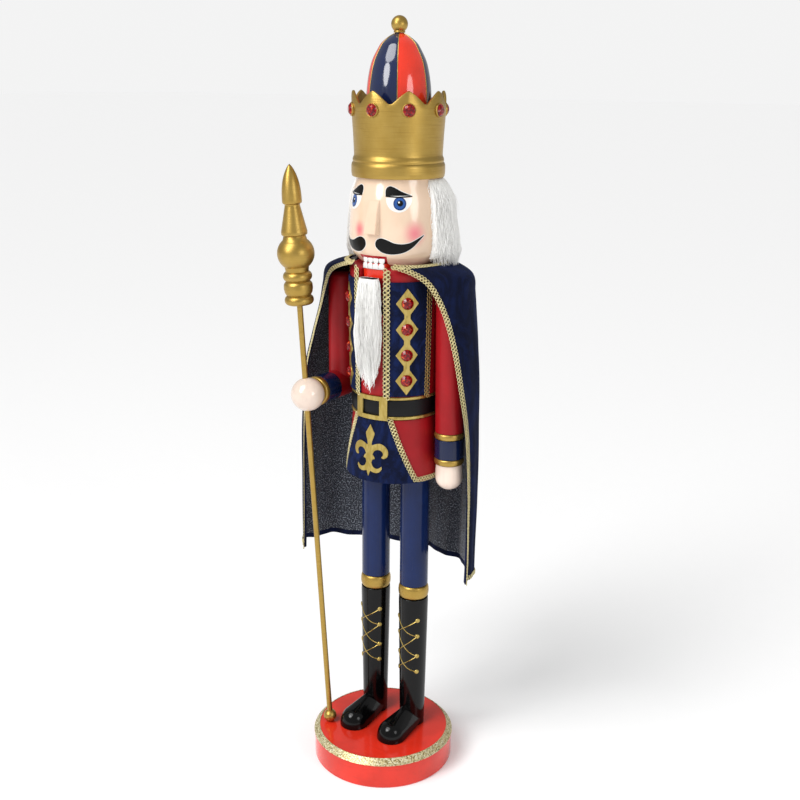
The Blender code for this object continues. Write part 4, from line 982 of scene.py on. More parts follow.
levels = [BELT_TOP + (SHOULDER - BELT_TOP) * i / 12 for i in range(12)]
body = [(BELT_R * 0.9, WAIST), (BELT_R * 0.9, BELT_TOP), *((chest_radius(z), z) for z in levels)]
body += [(CHEST, SHOULDER - 0.0075), (CHEST - 0.0018, SHOULDER - 0.002), (CHEST - 0.006, SHOULDER), (0.02, SHOULDER)]
trunk = lathe(eased(body, 0.0012, 3), 128, start=AXIS)
slot_box = block((AXIS.x - SLOT, AXIS.y - 0.09, PIVOT.z - 0.0245), (AXIS.x + SLOT, AXIS.y + 0.09, SHOULDER + 0.02))
keep("torso_turned", cut(trunk, slot_box), "figure", CRIMSON, replaces=["torso"], slot="crimson_satin", angle=30)

# %% [markdown]
# ## Flat shapes wrapped round the body
# The velvet panels, the foil diamonds, the lily and all the painted features start as flat outlines, in degrees
# round the body and metres up it. An outline is filled, sliced finely so it can bend, given a thickness, and then
# rolled onto the surface below it.

# %% Wrapping


def wrap(mesh, outline, radius_at, lift, thick, index=0, every=2.5, rise=0.004):
    """Adds one outline, rolled round the body's axis, to a mesh. lift is how far its back stands off."""
    flat = bmesh.new()
    face = flat.faces.new([flat.verts.new((a, 0, z * 1000)) for a, z in outline])
    face.normal_update()
    bmesh.ops.triangulate(flat, faces=[face], ngon_method="EAR_CLIP")
    spans = [(0, every, (1, 0, 0)), (2, rise * 1000, (0, 0, 1))]
    for axis, step, normal in spans:
        values = [v.co[axis] for v in flat.verts]
        first, last = int(min(values) / step) - 1, int(max(values) / step) + 1
        for i in range(first, last + 1):
            everything = flat.verts[:] + flat.edges[:] + flat.faces[:]
            place = Vector(normal) * (i * step)
            bmesh.ops.bisect_plane(flat, geom=everything, plane_co=place, plane_no=normal, dist=1e-4)
    grown = bmesh.ops.extrude_face_region(flat, geom=flat.faces[:])
    for v in grown["geom"]:
        if isinstance(v, bmesh.types.BMVert):
            v.co.y = 1
    fresh = {}
    for v in flat.verts:
        z = v.co.z / 1000
        fresh[v] = mesh.verts.new(spot(v.co.x, radius_at(z) + lift + thick * v.co.y, z))
    for f in flat.faces:
        made = mesh.faces.new([fresh[v] for v in f.verts])
        made.material_index = index
    flat.free()
    return mesh


def disc_outline(angle, z, radius, at_radius, count=28, squash=1.0):
    """A circle on the surface, as an outline."""
    turns = (2 * pi * i / count for i in range(count))
    scale = 180 / pi / at_radius
    return [(angle + radius * cos(t) * scale, z + radius * squash * sin(t)) for t in turns]


# %% [markdown]
# ## Vest panels, diamonds and their stones
# Two velvet panels cover the chest beside the beard. Down each runs a strip of four foil diamonds that touch point
# to point, with a round cut stone in a thin setting on each.

# %% Vest
VEST_LOW, VEST_HIGH = low("vest_panel_left"), high("vest_panel_left")
STRIP_LOW, STRIP_HIGH = low("diamond_strip_left"), high("diamond_strip_left")
PITCH = (STRIP_HIGH - STRIP_LOW) / 4.224
DIAMONDS = [STRIP_LOW + PITCH * (0.612 + i) for i in range(4)]
DEGREE = 180 / pi / CHEST
for side, tag in ((1, "left"), (-1, "right")):
    panel = wrap(
        bmesh.new(), [(side * a, z) for a, z in ((17, VEST_LOW), (78, VEST_LOW), (78, VEST_HIGH), (17, VEST_HIGH))],
        chest_radius, 0.0003, 0.0016
    )
    keep(f"vest_velvet_{tag}", panel, "figure", VEST_VELVET, replaces=[f"vest_panel_{tag}"], slot="navy_velvet")
    strip = bmesh.new()
    for z in DIAMONDS:
        tip, wide = PITCH * 0.57, 0.0128 * DEGREE
        outline = [(side * 45 + a, z + h) for a, h in ((0, -tip), (wide, 0), (0, tip), (-wide, 0))]
        wrap(strip, outline, chest_radius, 0.0019, 0.0006)
    for a, b in zip(DIAMONDS, DIAMONDS[1:]):
        neck = (a + b) / 2
        outline = [
            (side * 45 + s * 0.0034 * DEGREE, neck + h)
            for s, h in ((-1, -0.003), (1, -0.003), (1, 0.003), (-1, 0.003))
        ]
        wrap(strip, outline, chest_radius, 0.00185, 0.0006)
    keep(f"diamond_foil_{tag}", strip, "figure", FOIL, replaces=[f"diamond_strip_{tag}"], slot="gold_foil")

# %% Stones


def brilliant(radius, tall, sides=8):
    """A round cut stone: a table, a ring of kites and a ring of small triangles, on a low foot."""
    mesh = bmesh.new()
    table = [
        mesh.verts.new((radius * 0.52 * cos(a), radius * 0.52 * sin(a), tall))
        for a in (2 * pi * i / sides for i in range(sides))
    ]
    mid = [
        mesh.verts.new((radius * 0.80 * cos(a), radius * 0.80 * sin(a), tall * 0.68))
        for a in (2 * pi * (i + 0.5) / sides for i in range(sides))
    ]
    rim = [
        mesh.verts.new((radius * cos(a), radius * sin(a), tall * 0.22))
        for a in (pi * i / sides for i in range(2 * sides))
    ]
    foot = [mesh.verts.new((v.co.x * 0.96, v.co.y * 0.96, 0)) for v in rim]
    mesh.faces.new(table)
    n = sides
    for i in range(n):
        j = (i + 1) % n
        mesh.faces.new((table[i], mid[i], table[j]))
        mesh.faces.new((table[i], mid[i - 1], rim[2 * i], mid[i]))
        mesh.faces.new((mid[i], rim[2 * i], rim[2 * i + 1]))
        mesh.faces.new((mid[i], rim[2 * i + 1], rim[(2 * i + 2) % (2 * n)]))
    for i in range(2 * n):
        j = (i + 1) % (2 * n)
        mesh.faces.new((rim[i], rim[j], foot[j], foot[i]))
    mesh.faces.new(foot)
    return mesh


vest_spots = []
for side in (-1, 1):
    for z in DIAMONDS:
        vest_spots.append((spot(side * 45, chest_radius(z) + 0.0023, z), outward(side * 45), Vector((0, 0, 1))))
settle("vest_stones", set_along(vest_spots, brilliant(0.0070, 0.0038), STONE), "figure", angle=1)
settle("vest_settings", set_along(vest_spots, torus(0.0071, 0.0004, 28, 6), GOLD), "figure")

# %% [markdown]
# ## Skirt panel, lily and buckle
# The panel is an apron of velvet that widens towards the hem. The lily is a stencilled gold emblem of three petals
# tied by a band. The buckle is a plain square frame of foil over the belt.

# %% Apron and emblem
HEM, SKIRT_R = low("coat_skirt"), half("coat_skirt")


def skirt_radius(z):
    """The skirt's radius at a height."""
    share = (WAIST - z) / (WAIST - HEM)
    return SKIRT_R * (0.8973 + 0.1027 * share)


PANEL_LOW, PANEL_HIGH = HEM + 0.0010, WAIST - 0.0005


def panel_edge(z):
    """How far round the front, in degrees, the apron reaches at a height."""
    share = (z - PANEL_LOW) / (PANEL_HIGH - PANEL_LOW)
    return 60 - 33 * max(0.0, share) ** 0.85


steps = [PANEL_LOW + (PANEL_HIGH - PANEL_LOW) * i / 16 for i in range(17)]
outline = [(panel_edge(z), z) for z in steps] + [(-panel_edge(z), z) for z in reversed(steps)]
apron = wrap(bmesh.new(), outline, skirt_radius, 0.0002, 0.0017)
keep("apron_velvet", apron, "figure", VEST_VELVET, replaces=["skirt_panel"], slot="navy_velvet")

petal = [(0, 0.0635), (0.0045, 0.0554), (0.0060, 0.0527), (0.0050, 0.0480), (0.0034, 0.0438), (0.0026, 0.0388)]
curl = [
    (0.0040, 0.0384), (0.0085, 0.0404), (0.0145, 0.0412), (0.0205, 0.0376), (0.0232, 0.0320), (0.0224, 0.0266),
    (0.0188, 0.0236)
]
curl += [
    (0.0156, 0.0246), (0.0172, 0.0278), (0.0168, 0.0310), (0.0138, 0.0334), (0.0096, 0.0334), (0.0064, 0.0312),
    (0.0044, 0.0274)
]
bar = [(0.0072, 0.0240), (0.0074, 0.0220), (0.0044, 0.0208)]
root = [(0.0034, 0.0170), (0.0056, 0.0122), (0.0098, 0.0104), (0.0128, 0.0113), (0.0158, 0.0136)]
root += [(0.0164, 0.0108), (0.0138, 0.0070), (0.0098, 0.0052), (0.0052, 0.0058), (0.0024, 0.0070)]
right_half = petal[:1] + [tuple(p) for part in (petal[1:], curl) for p in curve_through(part, 4)] + bar
right_half += [tuple(p) for part in (root[:5], root[5:]) for p in curve_through(part, 4)] + [(0, 0)]
left_half = [(-s, z) for s, z in reversed(right_half[1:-1])]
EMBLEM_FOOT = low("skirt_emblem")
tilt = 180 / pi / skirt_radius(EMBLEM_FOOT + 0.03)
outline = [(s * tilt, EMBLEM_FOOT + z) for s, z in [*right_half, *left_half]]
lily = wrap(bmesh.new(), outline, skirt_radius, 0.0019, 0.0005)
keep("lily_foil", lily, "figure", FOIL, replaces=["skirt_emblem"], slot="gold_foil")

# %% Buckle
w, v = half("belt_buckle") / BELT_R, 0.0115 / BELT_R
w, v = asin(min(1, w)) * 180 / pi, v * 180 / pi
b0, b1 = low("belt_buckle"), high("belt_buckle")
sill, lintel = b0 + 0.0052, b1 - 0.0052
buckle = bmesh.new()
for a0, a1, z0, z1 in (
    (-w, w, b0, sill), (-w, w, lintel, b1), (-w, -v, sill - 0.0001, lintel + 0.0001),
    (v, w, sill - 0.0001, lintel + 0.0001)
):
    wrap(
        buckle, [(a0, z0), (a1, z0), (a1, z1), (a0, z1)], lambda z: BELT_R, 0.0001,
        0.0018 if z0 < b0 + 0.001 or z0 >= lintel else 0.0017
    )
keep("buckle_foil", buckle, "figure", FOIL, replaces=["belt_buckle"], slot="gold_foil")

# %% [markdown]
# ## Arms and hands
# Both arms are turned dowels with a mitred elbow on the bent one. The straight arm leans out a hair to clear the
# skirt, so its line is taken from the boxes of its sleeve and hand. Cuffs are glossy navy bands between gold rings.

# %% Straight arm
sleeve_top = Vector((low("sleeve_left", 0) + half("sleeve_left", 1), AXIS.y, high("sleeve_left")))
hand_foot = Vector((high("hand_left", 0) - half("hand_left", 1), AXIS.y, low("hand_left")))
ARM_R = half("sleeve_left", 1)
down = (hand_foot - sleeve_top).normalized()
arm_length = (hand_foot - sleeve_top).length


def share_down(z):
    """How far down the straight arm a height is."""
    return (sleeve_top.z - z) / -down.z


cuff_top, cuff_foot = share_down(high("cuff_left")), share_down(low("cuff_left"))
ring_top, ring_foot = share_down(high("cuff_ring_upper_left")), share_down(low("cuff_ring_lower_left"))
left = {"start": sleeve_top, "along": down}
sleeve = [
    (ARM_R * 0.3, 0), *curve_through([(ARM_R * 0.5, 0.0001), (ARM_R * 0.86, 0.003), (ARM_R, 0.010)], 5),
    (ARM_R, ring_top), (ARM_R * 0.7, ring_top)
]
turned("sleeve_left", eased(sleeve, 0.0005), CRIMSON, "crimson_satin", **left)
for name, start, end in (("cuff_ring_upper_left", ring_top, cuff_top), ("cuff_ring_lower_left", cuff_foot, ring_foot)):
    r = half(name, 1)
    rim = [
        (r * 0.7, start + 0.0002), (r * 0.95, start + 0.0002), (r, (start + end) / 2), (r * 0.95, end), (r * 0.7, end)
    ]
    turned(name, eased(rim, 0.003), GOLD, "gold_paint", **left)
r = half("cuff_left", 1)
band = [(r * 0.7, cuff_top + 0.0001), (r, cuff_top + 0.0001), (r, cuff_foot), (r * 0.7, cuff_foot)]
turned("cuff_left", eased(band, 0.0006), CUFF_NAVY, "navy_gloss", **left)
r = half("hand_left", 1)
FINGERTIPS = 0.015
wrist = [(r * 0.6, ring_foot + 0.0002), (r * 0.95, ring_foot + 0.0004)]
palm = [*wrist, (r, ring_foot + 0.008), (r, arm_length - FINGERTIPS)]
palm += [(r * cos(t), arm_length - FINGERTIPS + FINGERTIPS * sin(t)) for t in (pi / 2 * i / 8 for i in range(1, 9))]
turned("hand_left", palm, HAND, "flesh_gloss", **left)

# %% Bent arm
r = half("upper_sleeve_right")
elbow = Vector((centre("upper_sleeve_right").x, centre("upper_sleeve_right").y, low("upper_sleeve_right") + r))
top = high("upper_sleeve_right")


def mitred(first_slope, profile, segments=72):
    """A turned sleeve whose end at the elbow is cut at 45 degrees."""
    mesh = bmesh.new()
    turns = [2 * pi * i / segments for i in range(segments)]
    rows = [[mesh.verts.new((r * sin(a), -r * cos(a), -first_slope * r * cos(a) + 0.0003)) for a in turns]]
    rows += [[mesh.verts.new((q * sin(a), -q * cos(a), z)) for a in turns] for q, z in profile]
    return bridge(mesh, rows)


tall = top - elbow.z
crest = curve_through([(r, tall - 0.010), (r * 0.86, tall - 0.003), (r * 0.5, tall)], 5)
upper = mitred(-1, [(r, r * 1.2), (r, tall * 0.6), *[tuple(p) for p in crest]])
upper.transform(Matrix.Translation(elbow))
keep("upper_sleeve_right_turned", upper, "figure", CRIMSON, replaces=["upper_sleeve_right"], slot="crimson_satin")
reach = elbow.y - high("cuff_right", 1)
fore = mitred(1, [(r, r * 1.2), (r, reach - 0.0004), (r * 0.97, reach), (r * 0.7, reach)])
fore.transform(Matrix.Translation(elbow) @ Matrix.Rotation(pi / 2, 4, "X"))
keep("forearm_sleeve_right_turned", fore, "figure", CRIMSON, replaces=["forearm_sleeve_right"], slot="crimson_satin")
right = {"start": Vector((elbow.x, elbow.y, elbow.z)), "along": (0, -1, 0)}
c0, c1 = elbow.y - high("cuff_right", 1), elbow.y - low("cuff_right", 1)
q = half("cuff_right")
band = [(q * 0.7, c0), (q, c0), (q, c1), (q * 0.7, c1)]
turned("cuff_right", eased(band, 0.0006), CUFF_NAVY, "navy_gloss", **right)
c0, c1 = elbow.y - high("cuff_ring_lower_right", 1), elbow.y - low("cuff_ring_lower_right", 1)
q = half("cuff_ring_lower_right")
rim = [(q * 0.7, c0), (q * 0.95, c0), (q, (c0 + c1) / 2), (q * 0.95, c1), (q * 0.7, c1)]
turned("cuff_ring_lower_right", eased(rim, 0.003), GOLD_SIDEWAYS, "gold_paint", **right)
q = half("hand_right")
fist_at = Vector((elbow.x, low("hand_right", 1) + q, elbow.z))
fist = [(q * cos(t), q * sin(t)) for t in (-0.95 + (pi / 2 + 0.95) * i / 24 for i in range(25))]
fist[-1] = (0, q)
turned("hand_right", fist, HAND, "flesh_gloss", start=fist_at, along=(0, -1, 0))

# %% [markdown]
# ## Head, nose and mouth
# The head is a turned drum that pulls in to the chin, cut with the mouth slot. The nose is a carved wedge with a
# flat front that widens downwards and two flat sides. The mouth is painted round the slot, with eight raised teeth,
# four on the head and four on the jaw, so that they part when the lever is worked.

# %% Head
HEAD_R, HEAD_FOOT = half("head"), low("head")
OUTLINE = [(0.66, 0), (0.76, 0.0026), (0.864, 0.0082), (0.937, 0.0133), (0.985, 0.022), (1.0, 0.034)]
OUTLINE += [(0.994, 0.046), (0.968, 0.064), (0.925, 0.079), (0.862, 0.0945), (0.845, 0.1040)]
side_line = curve_through([(HEAD_R * s, HEAD_FOOT + z) for s, z in OUTLINE], 6)


def head_radius(z):
    """The head's radius at a height."""
    for p, q in zip(side_line, side_line[1:]):
        if p[1] <= z <= q[1]:
            return p[0] + (q[0] - p[0]) * (z - p[1]) / (q[1] - p[1])
    return side_line[0][0] if z < side_line[0][1] else side_line[-1][0]


ROOF = high("jaw_lever") + 0.0004
skull = lathe([tuple(p) for p in side_line], 128, start=AXIS)
mouth_box = block((AXIS.x - SLOT, AXIS.y - 0.09, HEAD_FOOT - 0.01), (AXIS.x + SLOT, PIVOT.y - 0.008, ROOF))
keep("head_turned", cut(skull, mouth_box), "figure", FLESH, replaces=["head"], slot="flesh_gloss", angle=30)


def nose():
    """A wedge with a flat front and two flat sides, widest and deepest at its foot."""
    foot, tall = low("nose"), high("nose") - low("nose")
    deepest = -(low("nose", 1) - AXIS.y)
    mesh = bmesh.new()
    rows = []
    levels = [0.0, 0.10, 0.3, 0.5, 0.7, 0.86, 0.95, 1.0]
    for s in levels:
        z = foot + tall * s
        skin = head_radius(z) - 0.0015
        proud = 0.72 * (deepest - head_radius(foot)) * (1 - s) ** 0.6
        front = 0.0078 - 0.0014 * s
        base = front + 0.0006
        depth = head_radius(z) + proud
        row = [(-base, -skin * 0.985), (-front, -depth), (front, -depth), (base, -skin * 0.985)]
        rows.append([mesh.verts.new((AXIS.x + x + 0.0034, AXIS.y + y, z)) for x, y in row])
    bridge(mesh, rows)
    bmesh.ops.recalc_face_normals(mesh, faces=mesh.faces)
    crease = [e for e in mesh.edges if e.calc_face_angle(0) > radians(20)]
    bmesh.ops.bevel(mesh, geom=crease, offset=0.0005, segments=3, affect="EDGES", clamp_overlap=True)
    return mesh


keep("nose_carved", nose(), "figure", FLESH, replaces=["nose"], slot="flesh_gloss", angle=30)

# %% [markdown]
# ## The painted face
# Brows, lids, eyes and moustache are enamel laid on with a brush. Each is an outline on the head, and the layers
# stack a few hundredths of a millimetre apart in the order a painter would lay them. The far side mirrors the near.

# %% Face paint
Z0 = SHOULDER


def features():
    """The painted shapes of one side: (layer, finish index, outline in degrees and metres)."""
    eye_z = Z0 + 0.0737
    sclera = curve_through(
        [
            (18.5, Z0 + 0.0800), (19.5, Z0 + 0.0735), (25.0, Z0 + 0.0668), (34.0, Z0 + 0.0640), (43.0, Z0 + 0.0668),
            (49.0, Z0 + 0.0740), (49.6, Z0 + 0.0800)
        ],
        6
    )
    lid = [
        (17.6, Z0 + 0.0822), (33, Z0 + 0.0812), (50.8, Z0 + 0.0822), (50.8, Z0 + 0.0810), (33, Z0 + 0.0798),
        (17.6, Z0 + 0.0808)
    ]
    lid_white = [
        (17.4, Z0 + 0.0836), (33, Z0 + 0.0826), (50.0, Z0 + 0.0836), (50.0, Z0 + 0.0824), (33, Z0 + 0.0813),
        (17.4, Z0 + 0.0824)
    ]
    brow = [
        (17.6, Z0 + 0.0838), (17.2, Z0 + 0.0890), (18.8, Z0 + 0.0925), (23.0, Z0 + 0.0942), (29.0, Z0 + 0.0925),
        (37.0, Z0 + 0.0888), (44.0, Z0 + 0.0862), (49.8, Z0 + 0.0843)
    ]
    brow = [(a, z - 0.0019) for a, z in (tuple(p) for p in curve_through(brow, 6))]
    tash = [
        (8.0, Z0 + 0.0240), (6.6, Z0 + 0.0285), (8.6, Z0 + 0.0330), (14.0, Z0 + 0.0350), (21.0, Z0 + 0.0333),
        (29.0, Z0 + 0.0300), (38.0, Z0 + 0.0290), (47.0, Z0 + 0.0303), (56.0, Z0 + 0.0345), (64.5, Z0 + 0.0385)
    ]
    tash += [
        (58.0, Z0 + 0.0318), (50.0, Z0 + 0.0245), (41.0, Z0 + 0.0195), (31.0, Z0 + 0.0173), (22.0, Z0 + 0.0172),
        (14.0, Z0 + 0.0192)
    ]
    tash = [tuple(p) for p in curve_through(tash, 5, closed=True)]
    wide = grown(tash, 0.00065)
    return [
        (0, 1, wide),
        (1, 0, tash),
        (0, 1, grown([tuple(p) for p in brow], 0.0007)),
        (0, 1, [tuple(p) for p in sclera]),
        (1, 3, disc_outline(35.2, eye_z, 0.0073, HEAD_R * 0.95)),
        (2, 2, disc_outline(35.2, eye_z, 0.0060, HEAD_R * 0.95)),
        (3, 0, disc_outline(35.6, eye_z + 0.0003, 0.0033, HEAD_R * 0.95)),
        # A small white dot on each eye: a painted highlight.
        (4, 1, disc_outline(34.2, eye_z + 0.0014, 0.0010, HEAD_R * 0.95, 12)),
        (2, 1, lid_white),
        (3, 0, lid),
        (4, 0, brow),
    ]


def grown(outline, by):
    """The outline moved out by a distance, for the pale line round a painted shape."""
    scale = pi / 180 * HEAD_R
    flat = [Vector((a * scale, z)) for a, z in outline]
    area = sum(p.x * q.y - q.x * p.y for p, q in zip(flat, flat[1:] + flat[:1]))
    sign = 1 if area > 0 else -1
    made = []
    for i, p in enumerate(flat):
        ahead = (flat[(i + 1) % len(flat)] - flat[i - 1]).normalized()
        q = p + Vector((ahead.y, -ahead.x)) * by * sign
        made.append((q.x / scale, q.y))
    return made


face = bmesh.new()
for mirror in (1, -1):
    for layer, index, outline in features():
        wrap(
            face, [(mirror * a, z) for a, z in outline], head_radius, 0.00004, 0.00008 + 0.00007 * layer, index, 2.5,
            0.003
        )
keep("face_paint", face, "figure", INK, WHITE, IRIS, IRIS_RIM, slot="flesh_gloss", angle=30)

# %% Mouth and teeth


def tooth(width, tall, down):
    """A plump tooth, square at its root and rounded at its tip."""
    outline = [(-0.5, 0), (0.5, 0), (0.52, 0.55), (0.40, 0.88), (0.0, 1.0), (-0.40, 0.88), (-0.52, 0.55)]
    outline = [(x * width, z * tall * (-1 if down else 1)) for x, z in outline]
    mesh = bmesh.new()
    back = [mesh.verts.new((x, 0.0008, z)) for x, z in outline]
    front = [mesh.verts.new((x, -0.0006, z)) for x, z in outline]
    crest = [mesh.verts.new((x * 0.7, -0.0012, z * 0.82 + 0.09 * tall * (-1 if down else 1))) for x, z in outline]
    return bridge(mesh, [back, front, crest])


def add(target, extra, matrix):
    """Adds one mesh to another at a place."""
    extra.transform(matrix)
    data = plain("extra", extra)
    target.from_mesh(data)
    bpy.data.meshes.remove(data)
    return target


MOUTH_TOP = Z0 + 0.0142
TOOTH_PITCH, TOOTH_WIDE = 0.0073, 0.0068
lips = bmesh.new()
edge = SLOT * 180 / pi / 0.049
outline = [(-edge - 1, ROOF), (edge + 1, ROOF), (edge + 1.5, MOUTH_TOP), (-edge - 1.5, MOUTH_TOP)]
wrap(lips, outline, head_radius, 0.00005, 0.0003)
keep("mouth_paint", lips, "figure", LIP_RED, slot="red_gloss")
upper_teeth = bmesh.new()
for i in range(4):
    x = (i - 1.5) * TOOTH_PITCH
    gum = head_radius(ROOF + 0.004) + 0.0006
    place = Vector((AXIS.x + x, AXIS.y - sqrt(gum**2 - x**2), MOUTH_TOP - 0.0012))
    add(
        upper_teeth, tooth(TOOTH_WIDE, 0.0080, True),
        Matrix.Translation(place) @ Matrix.Rotation(asin(x / gum), 4, "Z")
    )
keep("upper_teeth", upper_teeth, "figure", WHITE, slot="flesh_gloss", angle=50)

# %% [markdown]
# ## The jaw lever
# One bar of wood runs from the mouth, over the pin, and out of the back, where it bends down into a handle. It is
# drawn from the side and given its width, with a rounded face where it shows as the chin.

# %% Jaw lever
L0, L1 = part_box("jaw_lever")
JAW_FRONT = AXIS.y - L0[1]
back = L1[1] - PIVOT.y
side_view = [
    (L0[1] - PIVOT.y, 0.033 - 0.045), (L0[1] - PIVOT.y, 0.033), (L0[1] - PIVOT.y + 0.036, 0.033), (-0.004, 0.018),
    (0.004, 0.0105), (0.0098, 0.0036)
]
side_view += [
    (back - 0.012, 0.004), (back - 0.004, 0.002), (back, -0.004), (back, -0.063), (back - 0.004, -0.067),
    (back - 0.006, -0.067), (back - 0.008, -0.064)
]
side_view += [(back - 0.008, -0.012), (back - 0.012, -0.010), (0.0088, -0.0074), (0.0, -0.0115), (-0.0058, -0.0100)]


def lever():
    mesh = bmesh.new()
    columns = []
    across = [(-1 + 2 * i / 12) * half("jaw_lever") for i in range(13)]
    for x in across:
        row = []
        for y, z in side_view:
            if y < side_view[0][0] + 0.004:
                y = -(sqrt(JAW_FRONT**2 - x**2)) + (AXIS.y - PIVOT.y)
            row.append(mesh.verts.new((AXIS.x + x, PIVOT.y + y, PIVOT.z + z)))
        columns.append(row)
    bridge(mesh, columns)
    bmesh.ops.recalc_face_normals(mesh, faces=mesh.faces)
    crease = [e for e in mesh.edges if e.calc_face_angle(0) > radians(50)]
    bmesh.ops.bevel(mesh, geom=crease, offset=0.0006, segments=2, affect="EDGES", clamp_overlap=True)
    return mesh


keep("jaw_lever_carved", lever(), "jaw", JAW_RED, replaces=["jaw_lever"], slot="red_gloss", angle=30)
lower_teeth = bmesh.new()
for i in range(4):
    x = (i - 1.5) * TOOTH_PITCH
    gum = JAW_FRONT + 0.0006
    place = Vector((AXIS.x + x, AXIS.y - sqrt(gum**2 - x**2), high("jaw_lever") - 0.0066))
    add(
        lower_teeth, tooth(TOOTH_WIDE, 0.0070, False),
        Matrix.Translation(place) @ Matrix.Rotation(asin(x / gum), 4, "Z")
    )
keep("lower_teeth", lower_teeth, "jaw", WHITE, slot="flesh_gloss", angle=50)

# %% [markdown]
# ## Crown, cap and ball
# The crown is one turned and carved ring: a plain band, a groove and a bead, then a wall that flares to eight points with
# scooped valleys between them. A stone in a round setting sits under each point. Inside stands a tall cap painted
# in six gores, navy and orange-red in turn, with a fine gold line on each seam, and a gold ball on top.

# %% Crown
CROWN_R, CROWN_TIP = half("crown"), high("crown")
TALL = CROWN_TIP - CROWN_FOOT
VALLEY = 0.0810
POINTS, POINT_EVERY = 8, 45


def crown_edge(angle):
    """The height of the crown's edge, in metres above its foot, at an angle in degrees from a point."""
    away = abs((angle / POINT_EVERY + 0.5) % 1 - 0.5) * 2
    return TALL - (TALL - VALLEY) * min(1.0, away * 1.12) ** 1.25


def crown():
    columns = POINTS * 24
    lip, neck, rim = CROWN_R, CROWN_R * 0.9425, CROWN_R * 0.9907
    outside = eased(
        [
            (lip * 0.93, 0), (lip * 0.985, 0), (lip, 0.0050), (lip * 0.999, 0.0130), (lip * 0.985, 0.0156),
            (lip * 0.964, 0.0166), (lip * 0.976, 0.0188), (lip * 0.964, 0.0212), (neck + 0.0002, 0.0234)
        ],
        0.0011, 3
    )
    outside += [
        Vector(p)
        for p in (
            (neck, 0.0250), (neck + 0.0003, 0.032), (neck + 0.0011, 0.048), (neck + 0.0021, 0.062), (rim, 0.0745)
        )
    ]
    seat = half("head") * 0.85
    mesh = bmesh.new()
    rows = []
    for q, z in [(seat, 0.0055), (seat, 0.0), *[tuple(p) for p in outside]]:
        rows.append([mesh.verts.new(spot(360 * i / columns, q, CROWN_FOOT + z)) for i in range(columns)])
    for inset, drop in (
        (0.0, 0.0012), (0.0004, 0.0003), (0.0012, 0.0), (0.0024, 0.0), (0.0031, 0.0004), (0.0035, 0.0013)
    ):
        rows.append(
            [
                mesh.verts.new(
                    spot(360 * i / columns, rim - inset + 0.0003, CROWN_FOOT + crown_edge(360 * i / columns) - drop)
                )
                for i in range(columns)
            ]
        )
    inner = rim - 0.0035
    rows.append([mesh.verts.new(spot(360 * i / columns, inner, CROWN_FOOT + 0.0611)) for i in range(columns)])
    return bridge(mesh, rows)


keep("crown_turned", crown(), "figure", GOLD, replaces=["crown"], slot="gold_paint", angle=40)

# %% Crown stones
gem_z = centre("crown_gem_1").z
gem_at = -(high("crown_gem_1", 1) - AXIS.y)
crown_spots = []
for i in range(POINTS):
    angle = POINT_EVERY * i
    crown_spots.append((spot(angle, gem_at + 0.0002, gem_z), outward(angle), Vector((0, 0, 1))))
settle(
    "crown_stones",
    set_along(crown_spots, brilliant(0.0071, 0.0038), STONE),
    "figure",
    replaces=[f"crown_gem_{i}" for i in range(1, POINTS + 1)],
    angle=1,
)
setting = lathe(
    eased([(0.0062, -0.0015), (0.0079, -0.0015), (0.0079, 0.0004), (0.0073, 0.0012), (0.0066, 0.0006)], 0.0006), 36
)
settle("crown_settings", set_along(crown_spots, setting, GOLD), "figure")

# %% Cap
CAP_R, CAP_FOOT = half("crown_cap"), low("crown_cap")
GORES = 6
cap_line = [
    (CAP_R * 0.975, 0), (CAP_R * 0.995, 0.010), (CAP_R, 0.020), (CAP_R * 0.995, 0.030), (CAP_R * 0.973, 0.040),
    (CAP_R * 0.921, 0.0527)
]
cap_line += [
    (CAP_R * 0.829, 0.0657), (CAP_R * 0.652, 0.0787), (CAP_R * 0.530, 0.0853), (CAP_R * 0.3125, 0.0917),
    (CAP_R * 0.12, 0.0950)
]
cap_line = [(r, CAP_FOOT + z) for r, z in (tuple(p) for p in curve_through(cap_line, 4))]
cap = lathe(cap_line, 96, start=AXIS)
for f in cap.faces:
    at = f.calc_center_median() - AXIS
    gore = round(atan2(at.x, -at.y) / (2 * pi / GORES))
    f.material_index = gore % 2
keep("crown_cap_turned", cap, "figure", CAP_NAVY, CAP_RED, replaces=["crown_cap"], slot="navy_gloss")
seams = bmesh.new()
for i in range(GORES):
    tube(seams, [spot(360 / GORES * (i + 0.5), r + 0.00005, z) for r, z in cap_line], 0.00048, 5)
keep("cap_seams", seams, "figure", FOIL, slot="gold_paint")
ball_r = half("finial_ball")
knob = (
    [(0.0062, -ball_r * 0.98), (0.0066, -ball_r * 0.9)]
    + [(ball_r * cos(t), ball_r * sin(t)) for t in (-0.85 + (pi / 2 + 0.85) * i / 20 for i in range(20))]
    + [(0, ball_r)]
)
turned("finial_ball", knob, GOLD, "gold_paint", 64, start=(AXIS.x, AXIS.y, high("finial_ball") - ball_r))

# %% [markdown]
# ## The sceptre
# A thin rod with a ball foot and a tall turned head: beads, a barrel, a bulb, a long cone and a bullet. It slides
# in the fist, so all of it rides on the sceptre body. Its line is read from the slide joint.

# %% Sceptre
slide = next(j for j in frame["record"]["behaviour"]["joints"] if j["name"] == "sceptre_slide")
print("slide", slide)
FOOT = centre("sceptre_foot")
AIM = Vector(slide["axis"]).normalized()
ROD_R = 0.0034
sceptre = {"start": FOOT, "along": AIM}

# %% Sceptre head and rod


def bead(radius, foot, top, steps=10):
    """A round bead's outline between two heights."""
    reach = (top - foot) / 2
    turns = (-1.25 + 2.5 * i / steps for i in range(steps + 1))
    return [(radius - reach * 0.9 * (1 - cos(t)), (foot + top) / 2 + reach * sin(t)) for t in turns]


